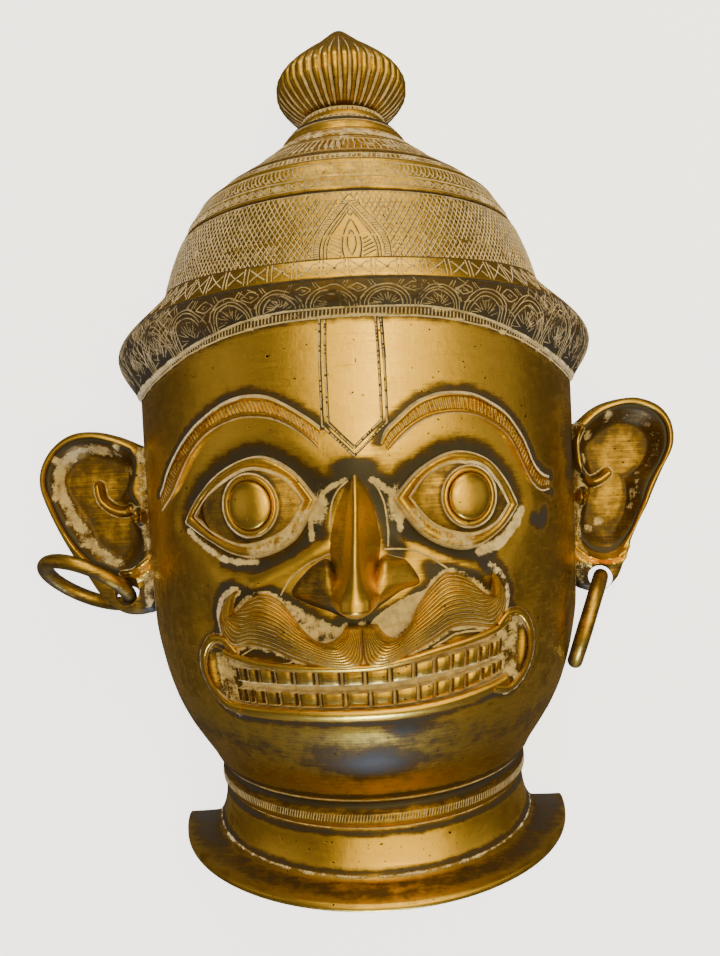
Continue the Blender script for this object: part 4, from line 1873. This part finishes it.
def mark_dashes():
    """Black slips left in the cream of the forehead mark."""
    rng = np.random.default_rng(15)
    dashes = []
    for line in mark_lines(0):
        for start in np.arange(0.03, 0.95, 0.085):
            at = start + rng.uniform(0, 0.03)
            if rng.uniform() < 0.55:
                a, b = (mix(line[0], line[-1], at + shift) for shift in (0, rng.uniform(0.015, 0.05)))
                dashes.append(segment(a, b, 3))
    return dashes


STRIP_ENDS, STRIP_PITCH = 86, 0.8  # degrees


def strip_strokes(shift, low, high):
    lines = []
    for theta in np.arange(-STRIP_ENDS, STRIP_ENDS, STRIP_PITCH) + shift:
        foot = float(read(STRIP_LEVEL, abs(theta)))
        lines.append(segment((theta, foot + low), (theta + 0.12, foot + high), 3))
    return lines


def strip_edge():
    theta = np.linspace(-STRIP_ENDS, STRIP_ENDS, 150)
    return np.stack([theta, read(STRIP_LEVEL, np.abs(theta))], axis=-1)


cream_lines = [curve(line, 14) for line in CREAM_LINES]
dark_strip, pale_strip = strip_strokes(0.4, 0.7, 2.6), strip_strokes(0.0, 0.55, 2.7)
neck_strokes = [segment((theta, -128.9), (theta + 0.5, -126.3), 3) for theta in np.arange(-84, 84, 0.95)]
ribbons("face_cream_lines", face_surface, cream_lines, 0.42, proud=0.07, step=1.6, seed=18, shake=0.15)
dirt_ribbons("forehead_mark_groove", face_surface, mark_lines(0.12), 0.86, proud=0.03, step=2.0, seed=11)
ribbons("forehead_mark", face_surface, mark_lines(0), 0.40, proud=0.09, step=2.0, seed=10, shake=0.08)
dirt_ribbons("forehead_mark_dashes", face_surface, mark_dashes(), 0.46, proud=0.13, step=1.0, seed=16)
dirt_ribbons("strip_shadow", face_surface, dark_strip, 0.33, step=1.2, seed=17)
ribbons("strip_strokes", face_surface, pale_strip, 0.27, proud=0.08, step=1.2, seed=12)
ribbons("strip_edge", face_surface, [strip_edge()], 0.38, seed=13, shake=0.1)
ribbons("neck_strokes", face_surface, neck_strokes, 0.24, step=1.3, seed=14, shake=0.1)

# %% [markdown]
# ## Floor, light and camera
# The mask lies on a plain pale floor. Brass shows the room more than its own colour, so the light does
# most of the work: a broad warm panel overhead, more to the right, for the forehead and neck, a soft
# one beyond the knob for the cap, and a low cool window beyond the neck that glints on the chin, in an
# otherwise dim warm room. The camera hangs 33 cm above the face, as a hand-held phone did, turned a
# little.

# %% The floor
FLOOR_REACH = 3  # metres from the middle to each side
FLOOR_GLOW = 2.6  # lifts the paper to the photo's pale ground


def floor():
    bm = bmesh.new()
    bmesh.ops.create_grid(bm, x_segments=1, y_segments=1, size=FLOOR_REACH)
    mesh = bpy.data.meshes.new("floor")
    bm.to_mesh(mesh)
    bm.free()
    material = bpy.data.materials.new("floor_paper")
    material.use_nodes = True
    shader = material.node_tree.nodes["Principled BSDF"]
    for name, value in (
        ("Base Color", (0.86, 0.85, 0.83, 1)), ("Roughness", 0.9), ("Emission Color", (1.0, 0.99, 0.97, 1)),
        ("Emission Strength", FLOOR_GLOW),
    ):
        shader.inputs[name].default_value = value
    mesh.materials.append(material)
    ground = bpy.data.objects.new("floor", mesh)
    bpy.context.collection.objects.link(ground)
    ground.visible_glossy = False


floor()

# %% Lights and world
MIDDLE = (0, 0, 0.05)


def area_light(name, place, aim, size, power, colour):
    light = bpy.data.lights.new(name, "AREA")
    light.shape = "RECTANGLE"
    light.size, light.size_y = size
    light.energy = power
    light.color = colour
    lamp = bpy.data.objects.new(name, light)
    lamp.location = place
    lamp.rotation_euler = (Vector(aim) - Vector(place)).to_track_quat("-Z", "Y").to_euler()
    bpy.context.collection.objects.link(lamp)


area_light("overhead_panel", (0.22, 0.03, 1.05), MIDDLE, (1.5, 1.36), 12.0, (1.0, 0.79, 0.27))
area_light("overhead_lamp", (0.16, 0.16, 0.95), MIDDLE, (0.10, 0.22), 0.9, (1.0, 0.84, 0.42))
area_light("right_side", (1.05, 0.0, 0.45), MIDDLE, (0.7, 0.7), 0.5, (1.0, 0.88, 0.62))
area_light("left_side", (-1.05, 0.0, 0.45), MIDDLE, (0.7, 0.7), 0.5, (1.0, 0.86, 0.62))
area_light("beyond_knob", (0.05, 0.95, 0.62), (0, 0.10, 0.05), (0.9, 0.5), 4.8, (1.0, 0.86, 0.58))
area_light("low_window", (0.0, -0.95, 0.14), (0, -0.1, 0.05), (0.13, 0.20), 6.0, (0.55, 0.72, 1.0))
world = bpy.data.worlds.new("dim_room")
world.use_nodes = True
background = world.node_tree.nodes["Background"]
background.inputs["Color"].default_value = (1.0, 0.86, 0.68, 1)
background.inputs["Strength"].default_value = 0.09
bpy.context.scene.world = world

# %% The camera
CAMERA_LENS = 27.04  # with a 36 mm sensor it frames the mask as the photo does
CAMERA_ROLL = math.radians(2.8)
camera_data = bpy.data.cameras.new("camera")
camera_data.lens = CAMERA_LENS
camera_data.sensor_width = 36
camera_data.clip_start = 0.01
camera = bpy.data.objects.new("camera", camera_data)
camera.location = in_frame((0, 0, CAMERA_HEIGHT))
camera.rotation_euler = (0, 0, -CAMERA_ROLL)
bpy.context.collection.objects.link(camera)
bpy.context.scene.camera = camera
print("camera at", [round(value, 4) for value in camera.location], "lights:", len(bpy.data.lights))

# %% [markdown]
# ## Last checks
# The looks may not outgrow the CAD part, so both boxes are written out side by side.

# %% Boxes and hand-over
print("triangles in all:", sum(TRIANGLES.values()))
